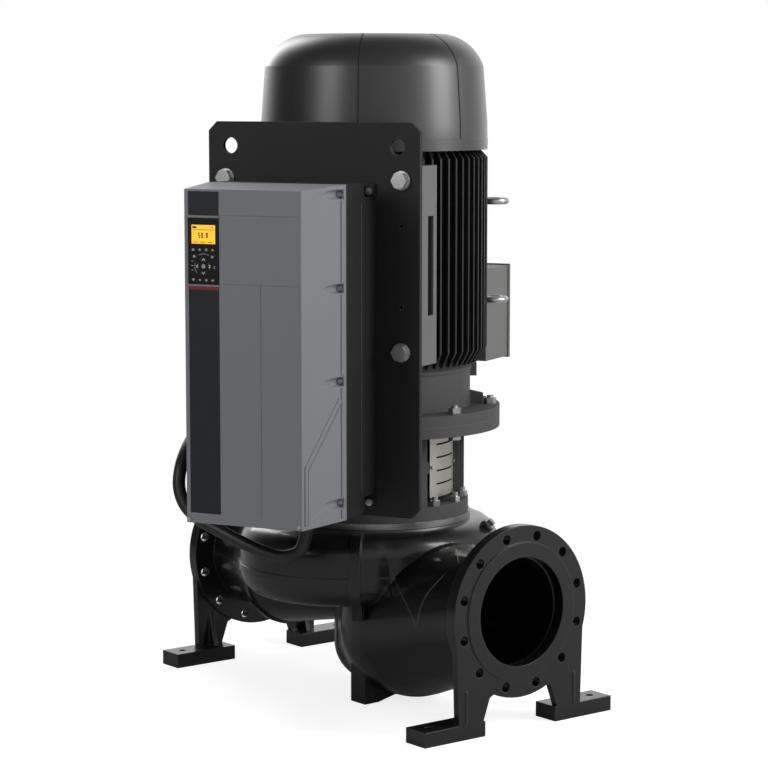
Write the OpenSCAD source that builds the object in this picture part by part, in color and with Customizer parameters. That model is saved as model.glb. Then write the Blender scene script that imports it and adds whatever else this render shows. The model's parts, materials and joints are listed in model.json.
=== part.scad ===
// In-line circulation pump with a motor-mounted drive, in millimetres.
// X runs along the pipe, Y to the back and Z up. The feet stand on z = 0,
// and the origin is midway between the two port faces.

/* [Pipework] */
// Length from port face to port face
port_span = 1058; // [1040:1:1100]
// Height of the pipe axis over the floor
pipe_z = 272; // [262:1:290]
// Bore of both ports
bore_d = 250; // [240:1:256]
// Outer diameter of the port flanges
flange_d = 395; // [388:1:405]
// Thickness of the port flanges, raised face included
flange_t = 31; // [26:1:36]
// Diameter of the raised sealing face
raised_d = 318; // [300:1:322]
// Height of the raised sealing face
raised_t = 3; // [2:0.5:5]
// Bolt circle of the port flanges
port_pcd = 350; // [346:1:354]
// Bolt hole in the port flanges
port_hole_d = 23; // [18:1:25]
// Bolt holes in each port flange
port_holes = 12; // [12:4:16]

/* [Feet] */
// Thickness of the leg plates
leg_t = 18; // [14:1:24]
// Distance from the middle to the outer edge of a leg
leg_out = 190; // [186:1:194]
// Distance from the middle to the inner edge of a leg at its foot
leg_in = 112; // [106:1:118]
// Length of a foot pad along the pipe
pad_w = 68; // [62:1:76]
// Height of a foot pad
pad_h = 35; // [30:1:42]
// Inner end of a foot pad
pad_in = 106; // [100:1:110]
// Outer end of a foot pad
pad_out = 281; // [270:1:292]
// Distance from the middle to a foundation bolt hole
pad_hole_y = 244; // [236:1:250]
// Foundation bolt hole
pad_hole_d = 18; // [14:1:22]

/* [Housing] */
// Outer radius of the round part of the volute
scroll_r = 298; // [290:1:304]
// Outer radius of the front bulge of the volute
bulge_r = 258; // [250:1:262]
// Forward offset of the front bulge
bulge_y = 88; // [80:1:94]
// Underside of the volute
scroll_low = 250; // [244:1:256]
// Top of the volute
scroll_top = 423; // [417:1:427]
// Rounding of the volute shoulders
shoulder_r = 54; // [40:1:58]
// Casting wall
cast_wall = 14; // [11:0.5:16]
// Radius of the top opening
mouth_r = 190; // [186:1:194]
// Radius of the top flange of the housing
top_flange_r = 232; // [229:1:234]
// Height of the parting rib
rib_z = 317; // [310:1:324]
// Radius of the suction casing
casing_r = 187; // [180:1:190]
// Radius of the suction bowl under the impeller
bowl_r = 98; // [97:1:102]
// Height of the middle of the suction bowl
bowl_z = 112; // [108:1:118]

/* [Cover and stool] */
// Distance of the shaft axis from the middle of the ports
axis_x = -14.5; // [-20:0.5:-8]
// Turn of the motor and the drive about the shaft axis
turn = 26.6; // [20:0.1:34]
// Radius of the pump cover
cover_r = 231.7; // [229:0.1:234]
// Thickness of the pump cover rim
cover_t = 14.4; // [12:0.1:18]
// Radius of the lower stool flange
stool_r = 226.7; // [224:0.1:230]
// Thickness of the lower stool flange
stool_flange_t = 32; // [28:1:36]
// Outer radius of the stool columns
column_r = 218; // [214:0.5:219]
// Wall of the stool columns
column_wall = 27; // [22:1:30]
// Half of the angle of a stool window
window_half = 30; // [27:0.5:33]
// Height of the stool windows
window_h = 174.2; // [165:0.1:185]
// Radius of the upper flange pair
pair_r = 302; // [298:1:306]
// Thickness of each flange of the upper pair
pair_t = 25.6; // [22:0.1:30]
// Radius of the studs around the lower flange
stud_pcr = 213; // [211:0.5:214]
// Studs around the lower flange
studs = 16; // [8:8:16]
// Bolt radius of the upper flange pair
pair_pcr = 279; // [276:0.5:282]
// Radius of the coupling guards
guard_r = 190; // [188:0.5:190.5]
// Half of the angle of a coupling guard
guard_half = 21; // [18:0.5:23]
// Thickness of the guard sheet
guard_t = 1.5; // [1:0.1:2]

/* [Motor] */
// Radius of the neck on the motor flange
neck_r = 230.4; // [226:0.1:234]
// Length of the neck on the motor flange
neck_h = 103.3; // [98:0.1:112]
// Outer radius of the motor tube under the fins
tube_r = 245; // [240:1:248]
// Wall of the motor tube
tube_wall = 29; // [24:1:33]
// Height of the fins
fin_h = 25.5; // [20:0.5:30]
// Fins around the full circle
fin_count = 72; // [60:6:84]
// Thickness of a fin
fin_t = 5; // [3:0.5:7]
// Height of the finned frame
frame_h = 508; // [490:1:520]
// Radius of the rotor
rotor_r = 140; // [130:1:146]
// Radius of the motor shaft
shaft_r = 37.5; // [32:0.5:40]
// Radius of the pump shaft
pump_shaft_r = 30; // [26:0.5:32]
// Height of the fan cover
hood_h = 270; // [255:1:280]
// Thickness of the fan cover sheet
hood_t = 3; // [2:0.5:4]
// Half width of the terminal box
box_half = 173; // [160:1:180]
// Height of the terminal box
box_h = 230; // [220:1:240]

/* [Plate and drive] */
// Distance from the shaft axis to the front of the plate
plate_y = 328; // [322:1:334]
// Half width of the plate
plate_half = 268; // [262:1:274]
// Thickness of the plate
plate_t = 12; // [8:1:14]
// Lower edge of the plate
plate_low = 481; // [479:1:490]
// Upper edge of the plate
plate_top = 1374.5; // [1366:0.5:1384]
// Chamfer of the plate corners
plate_cut = 21; // [14:1:26]
// Lifting hole in the plate
lift_d = 37; // [30:1:42]
// Half distance between the lifting holes
lift_x = 212; // [204:1:218]
// Sheet of the side brackets
bracket_t = 6; // [4:0.5:8]
// Half distance between the outer sides of the side brackets
bracket_half = 256; // [254:1:259]
// Half width of the drive chassis
drive_half = 165; // [160:1:167]
// Depth of the drive chassis
chassis_d = 176; // [168:1:184]
// Lower end of the drive
drive_low = 500; // [494:1:504]
// Upper end of the drive
drive_top = 1242; // [1236:1:1248]
// Half width of the drive cover at its rim
rim_half = 170.5; // [169:0.5:173]
// Half width of the drive cover at its face
face_half = 142.3; // [138:0.1:148]
// Depth of the drive cover
hood_d = 162.4; // [156:0.1:168]
// Wall of the drive cover
shell_t = 4; // [3:0.5:5]
// Left edge of the dark column on the cover
column_left = -133; // [-135:0.5:-130]
// Right edge of the dark column on the cover
column_right = -57; // [-60:0.5:-55]
// Depth of the recess for the dark column
recess_d = 7; // [6:0.5:9]
// Travel of a key
key_travel = 0.8; // [0.4:0.1:1]
// Outer diameter of the motor cable
cable_d = 30; // [26:1:32]

/* [Clearances] */
// Radial clearance of seated round pieces
fit = 0.1; // [0.05:0.01:0.2]
// Radial running clearance of the shafts
run = 0.05; // [0.02:0.01:0.1]
// Radial clearance of the impeller neck in its wear ring
neck_gap = 0.3; // [0.2:0.05:0.5]
// Gap between a key and the keypad
key_gap = 0.3; // [0.2:0.05:0.5]
// Gap around the panels of the cover
panel_gap = 0.3; // [0.2:0.05:0.5]

/* [Hidden] */

$fn = 96;
eps = 0.01;

// Heights of the stack along the shaft, each from the one under it.
cover_z = scroll_top + 1;
stool_z = cover_z + cover_t;
window_z = stool_z + stool_flange_t;
pair_z = window_z + window_h;
motor_z = pair_z + pair_t;
neck_z = motor_z + pair_t;
frame_z = neck_z + neck_h;
frame_top = frame_z + frame_h;

port_x = port_span / 2;
plate_face_x = port_x - raised_t;
column_in = column_r - column_wall;
chassis_y = plate_y + chassis_d;
face_y = chassis_y + hood_d;
box_z = frame_z - 22.5;
box_y = tube_r + 175;
box_back = tube_r + 35;
core_r = tube_r - tube_wall;
fin_r = tube_r + fin_h;
hood_r = fin_r;
pad_top_y = tube_r - 36;
pad_in_x = 188;
pad_len = 100;
pad_low_z = frame_z + 45;
pad_high_z = frame_top - 151;

// Puts the children in the frame of the motor: the shaft axis is its Z axis
// and the drive looks along its -Y.
module on_axis() {
    translate([axis_x, 0, 0]) rotate([0, 0, turn]) children();
}

// Repeats the children on both sides of the motor.
module both_sides() {
    children();
    mirror([1, 0, 0]) children();
}

// Repeats the children around the shaft axis.
module around(count, start) {
    for (i = [0 : count - 1]) rotate([0, 0, start + 360 * i / count]) children();
}

module ring(r_out, r_in, h) {
    difference() {
        cylinder(r = r_out, h = h);
        translate([0, 0, -1]) cylinder(r = r_in, h = h + 2);
    }
}

// A hexagonal prism of the width across its flats.
module hexagon(flats, h) {
    cylinder(r = flats / sqrt(3), h = h, $fn = 6);
}

// A flat wedge that spans the angle 2 * half about +X.
module sector(half, r, h) {
    linear_extrude(h) polygon([[0, 0], [r, -r * tan(half)], [r, r * tan(half)]]);
}

// A disc of radius r with rounded edges above and below.
module rounded_disc(r, h, edge) {
    rotate_extrude() polygon(concat([[0, 0]],
        [for (a = [-90 : 15 : 0]) [r - edge + edge * cos(a), edge + edge * sin(a)]],
        [for (a = [0 : 15 : 90]) [r - edge + edge * cos(a), h - edge + edge * sin(a)]],
        [[0, h]]));
}

// Housing

bulge_x = axis_x + 5;
port_neck_r = bore_d / 2 + 15;
// middle of the suction casing
casing_at = [160, -10, casing_r + 10.5];
// middle of the belt around the discharge tube
belt_at = [-300, -30, pipe_z - 10];
belt_r = 148;
strap_turn = -46;

module leg_plate() {
    translate([plate_face_x - leg_t, 0, 0]) rotate([90, 0, 90]) linear_extrude(leg_t) difference() {
        polygon([[-leg_out, pipe_z], [-leg_out + 7, pad_h - 1], [-leg_in, pad_h - 1],
            [-leg_in + 19, 86], [-66, 100], [66, 100], [leg_in - 19, 86], [leg_in, pad_h - 1],
            [leg_out - 7, pad_h - 1], [leg_out, pipe_z]]);
        translate([0, 66]) circle(r = 47);
    }
}

module foot() {
    translate([plate_face_x - pad_w, 0, 0]) difference() {
        union() {
            translate([0, pad_in, 0]) cube([pad_w, pad_out - pad_in, pad_h]);
            // gusset behind the leg
            translate([0, 152, 0]) rotate([90, 0, 0]) linear_extrude(12)
                polygon([[pad_w - leg_t - 26, pad_h - 1], [pad_w - leg_t + 1, pad_h - 1], [pad_w - leg_t + 1, pad_h + 85]]);
        }
        translate([pad_w / 2, pad_hole_y, -1]) cylinder(d = pad_hole_d, h = pad_h + 2);
    }
}

// Everything that belongs to one port, drawn on the +X side.
module port_end() {
    translate([port_x - flange_t, 0, pipe_z]) rotate([0, 90, 0]) {
        cylinder(d = flange_d, h = flange_t - raised_t);
        cylinder(d = raised_d, h = flange_t);
    }
    leg_plate();
    for (side = [0, 1]) mirror([0, side, 0]) {
        foot();
        // shallow upright rib on the face of the leg
        translate([plate_face_x - 1, 159, pad_h - 1]) cube([2.5, 6, 76]);
    }
}

module port_bolt_holes() {
    translate([port_x - flange_t, 0, pipe_z]) rotate([0, 90, 0])
        around(port_holes, 180 / port_holes) translate([port_pcd / 2, 0, -1])
            cylinder(d = port_hole_d, h = flange_t + 2);
}

module scroll(inset) {
    h = scroll_top - scroll_low - 2 * inset;
    edge = shoulder_r - inset;
    translate([axis_x, 0, scroll_low + inset]) rounded_disc(scroll_r - inset, h, edge);
    translate([bulge_x, -bulge_y, scroll_low + inset]) rounded_disc(bulge_r - inset, h, edge);
}

module parting_rib() {
    translate([axis_x, 0, rib_z - 8]) cylinder(r = scroll_r + 4, h = 16);
    translate([bulge_x, -bulge_y, rib_z - 8]) cylinder(r = bulge_r + 4, h = 16);
}

// A rib over the outside of the volute and down to the suction casing, towards the front corner.
module strap() {
    reach = 318;
    low = 221;
    r = shoulder_r + 8;
    translate([axis_x, 0, 0]) rotate([90, 0, strap_turn]) translate([0, 0, -12]) linear_extrude(24)
        polygon(concat([[180, scroll_top]],
            [for (a = [60 : -12 : 0]) [reach - shoulder_r + r * cos(a), scroll_top - shoulder_r + r * sin(a)]],
            [for (a = [0 : -10 : -50]) [reach - shoulder_r + r * cos(a), scroll_low + shoulder_r + r * sin(a)]],
            [[reach - 26, low], [180, low]]));
}

// The facet under the parting rib: a second sphere stands out of the casing on one side of a ridge.
module casing_facet() {
    intersection() {
            translate([147.6, -25.6, casing_r + 17.5]) sphere(r = casing_r);
        translate([155, -16, casing_r + 10.5]) rotate([0, -27, 56.3]) translate([0, -300, -300]) cube([300, 600, 600]);
        translate([195, -216, 100]) cube([200, 260, rib_z - 100]);
    }
}

// The suction side: a round casing behind the right flange, which leads under the volute
// to a bowl below the eye. The inset draws its hollow.
module suction(inset) {
    hull() {
        translate([port_x - flange_t + 7, 0, pipe_z]) rotate([0, 90, 0])
            cylinder(r = port_neck_r - inset, h = 1, $fn = 40);
        translate(casing_at) sphere(r = casing_r - inset, $fn = 40);
    }
    hull() {
        translate(casing_at) sphere(r = casing_r - inset, $fn = 40);
        translate([axis_x, 6, bowl_z - 8]) sphere(r = bowl_r - 8 - inset, $fn = 32);
    }
}

// The discharge side: a tube from the volute to the left flange.
module discharge() {
    hull() {
        translate([-port_x + flange_t - 8, 0, pipe_z]) rotate([0, 90, 0]) cylinder(r = port_neck_r, h = 1, $fn = 40);
        translate(belt_at) rotate([0, 90, 0]) cylinder(r = belt_r, h = 1, $fn = 40);
        translate([axis_x - 95, -10, 265]) sphere(r = 112, $fn = 32);
    }
    // belt around the tube and the parting rib on its side
    translate(belt_at - [13, 0, 0]) rotate([0, 90, 0]) cylinder(r = belt_r + 5, h = 14);
    translate([-port_x + flange_t - 4, -port_neck_r - 4, pipe_z - 4]) rotate([0, 0, -10.8])
        cube([port_x - flange_t + belt_at[0] + 6, 30, 8]);
}

module discharge_passage() {
    hull() {
        translate([-port_x + 49, 0, pipe_z]) rotate([0, 90, 0]) cylinder(d = bore_d - 6, h = 1, $fn = 40);
        translate(belt_at) rotate([0, 90, 0]) cylinder(r = belt_r - cast_wall, h = 1, $fn = 40);
        translate([axis_x - 176, 0, 290]) sphere(r = 70, $fn = 32);
    }
}

module pump_housing() color("dimgray") difference() {
    union() {
        port_end();
        mirror([1, 0, 0]) port_end();
        scroll(0);
        parting_rib();
        translate([axis_x, 0, scroll_top - 20]) cylinder(r = top_flange_r, h = 21);
        discharge();
        suction(0);
        translate([axis_x, 0, bowl_z]) sphere(r = bowl_r);
        translate([axis_x, 0, bowl_z]) cylinder(r = bowl_r, h = scroll_low - bowl_z + 10);
        strap();
        casing_facet();
        // small prop under the suction casing, with a web behind it
        translate([77, -143, 0.5]) cube([54, 27, 96]);
        translate([112, -118, 0.5]) rotate([90, 0, 90]) linear_extrude(18)
            polygon([[0, 0], [16, 0], [70, 12], [70, 50], [0, 50]]);
        vent_frame() translate([0, 0, -30]) cylinder(r = 17, h = 38);
    }
    // wet passages
    scroll(cast_wall);
    difference() {
        suction(cast_wall + 4);
        scroll(0);
    }
    discharge_passage();
    translate([axis_x, 0, bowl_z]) sphere(r = bowl_r - cast_wall);
    translate([axis_x, 0, bowl_z + 2]) cylinder(r = eye_r, h = scroll_low - bowl_z + cast_wall - 1);
    translate([axis_x, 0, scroll_low + cast_wall + 1]) cylinder(r = mouth_r, h = 200);
    translate([port_x - flange_t, 0, pipe_z]) rotate([0, 90, 0]) cylinder(d = bore_d, h = flange_t + 1);
    translate([-port_x - 1, 0, pipe_z]) rotate([0, 90, 0]) cylinder(d = bore_d, h = 60);
    port_bolt_holes();
    mirror([1, 0, 0]) port_bolt_holes();
    translate([axis_x, 0, scroll_top - 30]) around(studs, turn) translate([stud_pcr, 0, 0])
        cylinder(d = 14 + 2 * fit, h = 40);
    vent_frame() translate([0, 0, -8]) cylinder(d = 16 + 2 * fit, h = 20);
}

eye_r = 88;
wear_r = 112;

// The vent stands square on the shoulder of the volute, at the back of the suction side.
module vent_frame() {
    translate([axis_x, 0, scroll_top - shoulder_r]) rotate([0, 0, 33])
        translate([scroll_r - shoulder_r, 0, 0]) rotate([0, 45, 0]) translate([0, 0, shoulder_r]) children();
}

// A bronze ring that stands in the floor of the volute around the impeller's neck.
module wear_ring() color("peru") translate([axis_x, 0, scroll_low + cast_wall]) difference() {
    cylinder(r = wear_r, h = 18);
    translate([0, 0, -1]) cylinder(r = neck_outer + neck_gap, h = 20);
}

// Square-headed vent plug in its boss.
module housing_plugs() color("silver") vent_frame() {
    translate([0, 0, -7]) cylinder(d = 16, h = 15 + eps);
    translate([0, 0, 8]) cylinder(r = 14, h = 4);
    translate([-8, -8, 12 - eps]) cube([16, 16, 10]);
}

// Pump cover, seal and stool

module pump_cover() color("lightgray") translate([axis_x, 0, 0]) difference() {
    union() {
        translate([0, 0, cover_z]) cylinder(r = cover_r, h = cover_t);
        translate([0, 0, cover_z - 20]) cylinder(r = mouth_r - fit, h = 20 + eps);
        translate([0, 0, cover_z]) cylinder(r = 78, h = cover_t + 36);
    }
    translate([0, 0, cover_z - 21]) cylinder(r = pump_shaft_r + run, h = 200);
    translate([0, 0, cover_z - 2]) cylinder(r = chamber_r, h = 200);
    around(studs, turn) translate([stud_pcr, 0, cover_z - 1]) cylinder(d = 14 + 2 * fit, h = cover_t + 2);
}

chamber_r = 48;
chamber_top = stool_z + 36;

module seal_seat() color("gray") translate([axis_x, 0, chamber_top]) difference() {
    union() {
        cylinder(r = 70, h = 10);
        translate([0, 0, -16]) cylinder(r = chamber_r - fit, h = 16 + eps);
        around(4, 45) translate([60, 0, 10 - eps]) hexagon(13, 8);
    }
    translate([0, 0, -17]) cylinder(r = pump_shaft_r + run, h = 40);
}

module seal_ring() color("darkslategray") translate([axis_x, 0, cover_z + 4]) difference() {
    cylinder(r = 42, h = chamber_top - 16 - 0.3 - cover_z - 4);
    translate([0, 0, -1]) cylinder(r = pump_shaft_r + fit, h = 80);
}

module stool_window(half, z, h) {
    translate([0, 0, z]) {
        sector(half, 400, h);
        mirror([1, 0, 0]) sector(half, 400, h);
    }
}

module motor_stool() color("dimgray") on_axis() difference() {
    union() {
        translate([0, 0, stool_z]) cylinder(r = stool_r, h = stool_flange_t);
        translate([0, 0, pair_z]) cylinder(r = pair_r, h = pair_t);
        difference() {
            translate([0, 0, window_z - 1]) cylinder(r = column_r, h = window_h + 2);
            translate([0, 0, window_z - 2]) cylinder(r = column_in, h = window_h + 4);
            stool_window(window_half, window_z, window_h);
        }
        // lugs that carry the guards, two in each window
        translate([0, 0, window_z + window_h / 2 - 14]) difference() {
            intersection() {
                ring(column_in + 2, guard_in - 16, 28);
                stool_window(window_half + 5, 0, 28);
            }
            stool_window(guard_half - 5, -1, 30);
            intersection() {
                ring(400, guard_in - fit, 28);
                stool_window(window_half - 2, -1, 30);
            }
        }
    }
    translate([0, 0, stool_z - 1]) cylinder(r = 120, h = stool_flange_t + 2);
    translate([0, 0, pair_z - 1]) cylinder(r = spigot_r + fit, h = pair_t + 2);
    around(studs, 0) translate([stud_pcr, 0, stool_z - 1]) cylinder(d = 14 + 2 * fit, h = stool_flange_t + 2);
    around(8, 22.5) translate([pair_pcr, 0, pair_z - 1]) cylinder(d = 18, h = pair_t + 2);
    // spot faces under the nuts, with room for the nuts at the foot of the columns
    around(studs, 0) translate([stud_pcr, 0, window_z - spot_t]) cylinder(r = 13.2, h = 28);
    // screw holes of the guards
    guard_holes(4 + 2 * fit);
}

spigot_r = 175;
spot_t = 0.5;
guard_in = guard_r - guard_t;

module guard_holes(d) {
    translate([0, 0, window_z + window_h / 2]) both_sides() for (a = [-1, 1])
        rotate([0, 0, a * (guard_half - 2.5)]) translate([guard_r - 14, 0, 0]) rotate([0, 90, 0])
            cylinder(d = d, h = 20);
}

module stool_studs() color("silver") on_axis() around(studs, 0) translate([stud_pcr, 0, 0]) {
    translate([0, 0, stool_z - 32]) cylinder(d = 14, h = 32 + stool_flange_t + 22);
    translate([0, 0, window_z - spot_t]) hexagon(21, 13);
}

// A rolled sheet with slots, rounded at its lower corners.
module coupling_guards() color("tan") on_axis() both_sides() difference() {
    translate([0, 0, window_z + 14]) intersection() {
        ring(guard_r, guard_in, window_h - 16);
        sector(guard_half, 300, window_h);
    }
    for (k = [1 : 4]) translate([guard_r, 0, window_z + 14 + k * (window_h - 16) / 5])
        cube([20, 90, 4], center = true);
    guard_holes(6.5);
}

module guard_screws() color("silver") on_axis() translate([0, 0, window_z + window_h / 2])
    both_sides() for (a = [-1, 1]) rotate([0, 0, a * (guard_half - 2.5)]) translate([guard_r - 13, 0, 0])
        rotate([0, 90, 0]) {
            cylinder(d = 4, h = 13.2);
            translate([0, 0, 13.2]) cylinder(d = 10, h = 4);
        }

// Eight bolts through the upper pair, heads below and nuts on top.
module pair_bolts() color("silver") on_axis() around(8, 22.5) translate([pair_pcr, 0, 0]) {
    translate([0, 0, pair_z - 10]) hexagon(26, 10);
    translate([0, 0, pair_z - eps]) cylinder(d = 16, h = 2 * pair_t + 20);
    translate([0, 0, neck_z]) hexagon(26, 14);
}

// Motor

bearing_r = 70;
bearing_h = 36;
drive_bearing_z = neck_z + 34;

module motor_flange() color("dimgray") on_axis() difference() {
    union() {
        translate([0, 0, motor_z]) cylinder(r = pair_r, h = pair_t);
        translate([0, 0, motor_z - 6]) cylinder(r = spigot_r, h = 7);
        translate([0, 0, neck_z - 1]) cylinder(r = neck_r, h = neck_h + 1);
        translate([0, 0, frame_z - 16]) cylinder(r = neck_r + 3, h = 8);
        // gussets between the neck and the flange
        around(4, 22.5) rotate([90, 0, 0]) translate([0, 0, -6]) linear_extrude(12)
            polygon([[neck_r - 5, neck_z - 1], [262, neck_z - 1], [262, neck_z + 26], [neck_r - 5, neck_z + 34]]);
        // drain boss under the frame
        rotate([0, 0, 28]) translate([neck_r - 8, -8, frame_z - 38]) cube([24, 16, 32]);
    }
    difference() {
        translate([0, 0, neck_z + 14]) cylinder(r = neck_r - 14, h = neck_h);
        translate([0, 0, neck_z + 13]) cylinder(r = bearing_r + 20, h = drive_bearing_z + bearing_h - neck_z - 13);
    }
    translate([0, 0, motor_z - 7]) cylinder(r = spigot_r - 25, h = pair_t - 5);
    translate([0, 0, motor_z]) cylinder(r = shaft_r + 3, h = 200);
    translate([0, 0, drive_bearing_z]) cylinder(r = bearing_r + fit, h = 200);
    around(8, 22.5) translate([pair_pcr, 0, motor_z - 1]) cylinder(d = 18, h = pair_t + 2);
}

// One cooling fin with sloped ends, standing in the XZ plane.
module fin() {
    rotate([90, 0, 0]) translate([0, 0, -fin_t / 2]) linear_extrude(fin_t)
        polygon([[tube_r - 2, frame_z + 2], [tube_r + 4, frame_z + 2], [fin_r, frame_z + 37],
            [fin_r, frame_top - 20], [fin_r - 18, frame_top - 1], [tube_r - 2, frame_top - 1]]);
}

module motor_frame() color("dimgray") on_axis() difference() {
    union() {
        translate([0, 0, frame_z]) cylinder(r = tube_r, h = frame_h);
        // fins, left out where the box and the pads stand
        for (i = [0 : fin_count - 1]) let (a = 360 * i / fin_count)
            if (!fin_blocked(a)) rotate([0, 0, a]) fin();
        // pads for the side brackets
        both_sides() for (z = [pad_low_z, pad_high_z]) translate([pad_in_x, -pad_top_y, z])
            linear_extrude(pad_len) polygon([[2, 0], [44, 0], [44, 47], [17, 99], [-23, 59]]);
        // seat of the terminal box
        translate([-110, tube_r - 45, box_z + 45]) cube([220, box_back - 5 - tube_r + 45, box_h - 70]);
        // bosses of the eye bolts
        for (z = eye_z) rotate([0, 0, eye_angle]) translate([tube_r - 5, 0, z]) rotate([0, 90, 0])
            cylinder(r = 22, h = eye_seat - tube_r + 5);
    }
    translate([0, 0, frame_z - 1]) cylinder(r = core_r + fit, h = frame_h + 2);
    // window for the leads behind the terminal box
    translate([-60, tube_r - 65, box_z + 60]) cube([120, 120, 90]);
    for (z = eye_z) rotate([0, 0, eye_angle]) translate([tube_r, 0, z]) rotate([0, 90, 0])
        cylinder(d = 20 + 2 * fit, h = 60);
    // tapped holes of the bracket bolts
    both_sides() for (z = pad_bolt_z) translate([pad_bolt_x, -pad_top_y - 1, z]) rotate([-90, 0, 0])
        cylinder(d = 16 + 2 * fit, h = 36);
}

eye_z = [frame_z + 140, frame_top - 129];
eye_seat = fin_r - 4;
eye_angle = 43;
pad_bolt_x = 216;
pad_bolt_z = [pad_low_z + pad_len / 2, pad_high_z + pad_len / 2];

function away(a, b) = abs((a - b + 540) % 360 - 180);
function fin_blocked(a) = away(a, 90) < 27 || away(a, eye_angle) < 5.1;

module motor_end_shield() color("dimgray") on_axis() difference() {
    union() {
        translate([0, 0, frame_top]) cylinder(r = tube_r, h = 14);
        translate([0, 0, frame_top - 12]) cylinder(r = core_r - fit, h = 13);
        // lugs that carry the fan cover
        around(4, 45) translate([tube_r - 6, -14, frame_top]) cube([hood_lug_r - tube_r + 6, 28, 22]);
        translate([0, 0, frame_top - 12]) cylinder(r = bearing_r + 18, h = 46);
    }
    translate([0, 0, frame_top - 13]) cylinder(r = bearing_r + fit, h = bearing_h + 1);
    translate([0, 0, frame_top]) cylinder(r = end_shaft_r + 2, h = 100);
    around(4, 45) translate([hood_r - 24, 0, frame_top + 10]) rotate([0, 90, 0]) cylinder(d = 8 + 2 * fit, h = 30);
    // the dished inner side leaves room for the windings
    translate([0, 0, frame_top - 13]) ring(core_r - 12, bearing_r + 18, 17);
}

end_shaft_r = 32.5;
hood_lug_r = hood_r - hood_t - 1.2;
core_low = frame_z + 70;
core_high = frame_top - 80;

// Stacked core with the winding heads above and below.
module stator() color("peru") on_axis() difference() {
    union() {
        translate([0, 0, core_low]) cylinder(r = core_r, h = core_high - core_low);
        translate([0, 0, core_low - 48]) cylinder(r = core_r - 14, h = 49);
        translate([0, 0, core_high - 1]) cylinder(r = core_r - 14, h = 49);
    }
    translate([0, 0, core_low - 60]) cylinder(r = rotor_r + 1.5, h = 900);
    translate([0, 0, core_low - 60]) cylinder(r = rotor_r + 14, h = 60);
    translate([0, 0, core_high]) cylinder(r = rotor_r + 14, h = 60);
}

module motor_bearings() color("lightgray") on_axis() {
    translate([0, 0, drive_bearing_z]) ring(bearing_r, shaft_r + run, bearing_h);
    translate([0, 0, frame_top - 13]) ring(bearing_r, end_shaft_r + run, bearing_h);
}

// Half profile of the fan cover, from its rim to the middle of its top.
function hood_profile(inset) = concat(
    [[hood_r - inset, 0], [hood_r - inset, 22], [hood_r - 0.7 - inset, 66], [hood_r - 11 - inset, 195]],
    [for (a = [10 : 10 : 80]) [dome_x + (hood_r - 11 - dome_x) * cos(a) - inset * cos(a),
        195 + (hood_h - 195) * sin(a) - inset * sin(a)]],
    [[dome_x, hood_h - inset], [0, hood_h - inset]]);
dome_x = 175;

module fan_cover() color("dimgray") on_axis() translate([0, 0, frame_top - 1]) difference() {
    rotate_extrude() difference() {
        polygon(concat([[0, 0]], hood_profile(0)));
        polygon(concat([[0, -1], [hood_r - hood_t, -1]], hood_profile(hood_t)));
    }
    // air inlet: rings of slots in the top
    difference() {
        translate([0, 0, hood_h - 20]) for (r = [40 : 16 : 152]) ring(r + 9, r, 40);
        around(3, 30) translate([-200, -5, hood_h - 30]) cube([400, 10, 60]);
    }
    // holes of the four side screws
    around(4, 45) translate([hood_r - 10, 0, 11]) rotate([0, 90, 0]) cylinder(d = 8 + 2 * fit, h = 20);
}

// Hexagon screws of the fan cover and of the terminal box lid.
module case_screws() color("silver") on_axis() {
    around(4, 45) translate([hood_r - 20, 0, frame_top + 10]) rotate([0, 90, 0]) {
        cylinder(d = 8, h = 20);
        translate([0, 0, 20]) hexagon(13, 6);
    }
    for (x = [-1, 1], z = [18, box_h - 18]) translate([x * (box_half - 18), box_y, box_z + z])
        rotate([-90, 0, 0]) {
            translate([0, 0, -10]) cylinder(d = 8, h = 20);
            translate([0, 0, lid_t]) hexagon(13, 5);
        }
}

lid_t = 10;

// Open-backed terminal box with rounded upright corners.
module terminal_box() color("gray") on_axis() difference() {
    union() {
        translate([-box_half, box_back, box_z]) cube([2 * box_half, box_y - box_back, box_h]);
        translate([48 - box_half, box_back - 5, box_z + 15]) cube([2 * box_half - 96, 10, box_h - 30]);
        for (x = [-1, 1], z = [18, box_h - 18]) translate([x * (box_half - 18), box_y - 26, box_z + z])
            rotate([-90, 0, 0]) cylinder(r = 13, h = 26);
    }
    difference() {
        translate([-box_half + 7, box_back + 12, box_z + 7]) cube([2 * box_half - 14, 200, box_h - 14]);
        for (x = [-1, 1], z = [18, box_h - 18]) translate([x * (box_half - 18), box_back + 10, box_z + z])
            rotate([-90, 0, 0]) cylinder(r = 13, h = 200);
    }
    translate([-60, box_back - 10, box_z + 60]) cube([120, 60, 90]);
    for (x = [-1, 1], z = [18, box_h - 18]) translate([x * (box_half - 18), box_y - 12, box_z + z])
        rotate([-90, 0, 0]) cylinder(d = 8 + 2 * fit, h = 20);
    translate([cable_end_x, cable_end_y, box_z - 1]) cylinder(r = 20 + fit, h = 10);
}

cable_end_x = -100;
cable_end_y = box_back + 70;

module terminal_lid() color("gray") on_axis() difference() {
    translate([-box_half - 3, box_y, box_z - 3]) cube([2 * box_half + 6, lid_t, box_h + 6]);
    for (x = [-1, 1], z = [18, box_h - 18]) translate([x * (box_half - 18), box_y - 1, box_z + z])
        rotate([-90, 0, 0]) cylinder(d = 8 + 2 * fit, h = 20);
}

module eye_bolts() color("silver") on_axis() for (z = eye_z) rotate([0, 0, eye_angle])
    translate([eye_seat, 0, z]) {
        rotate([0, -90, 0]) cylinder(d = 20, h = 20);
        rotate([0, 90, 0]) cylinder(r = 20, h = 7);
        translate([39, 0, 0]) rotate_extrude() translate([28, 0]) circle(r = 8, $fn = 32);
    }

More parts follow.
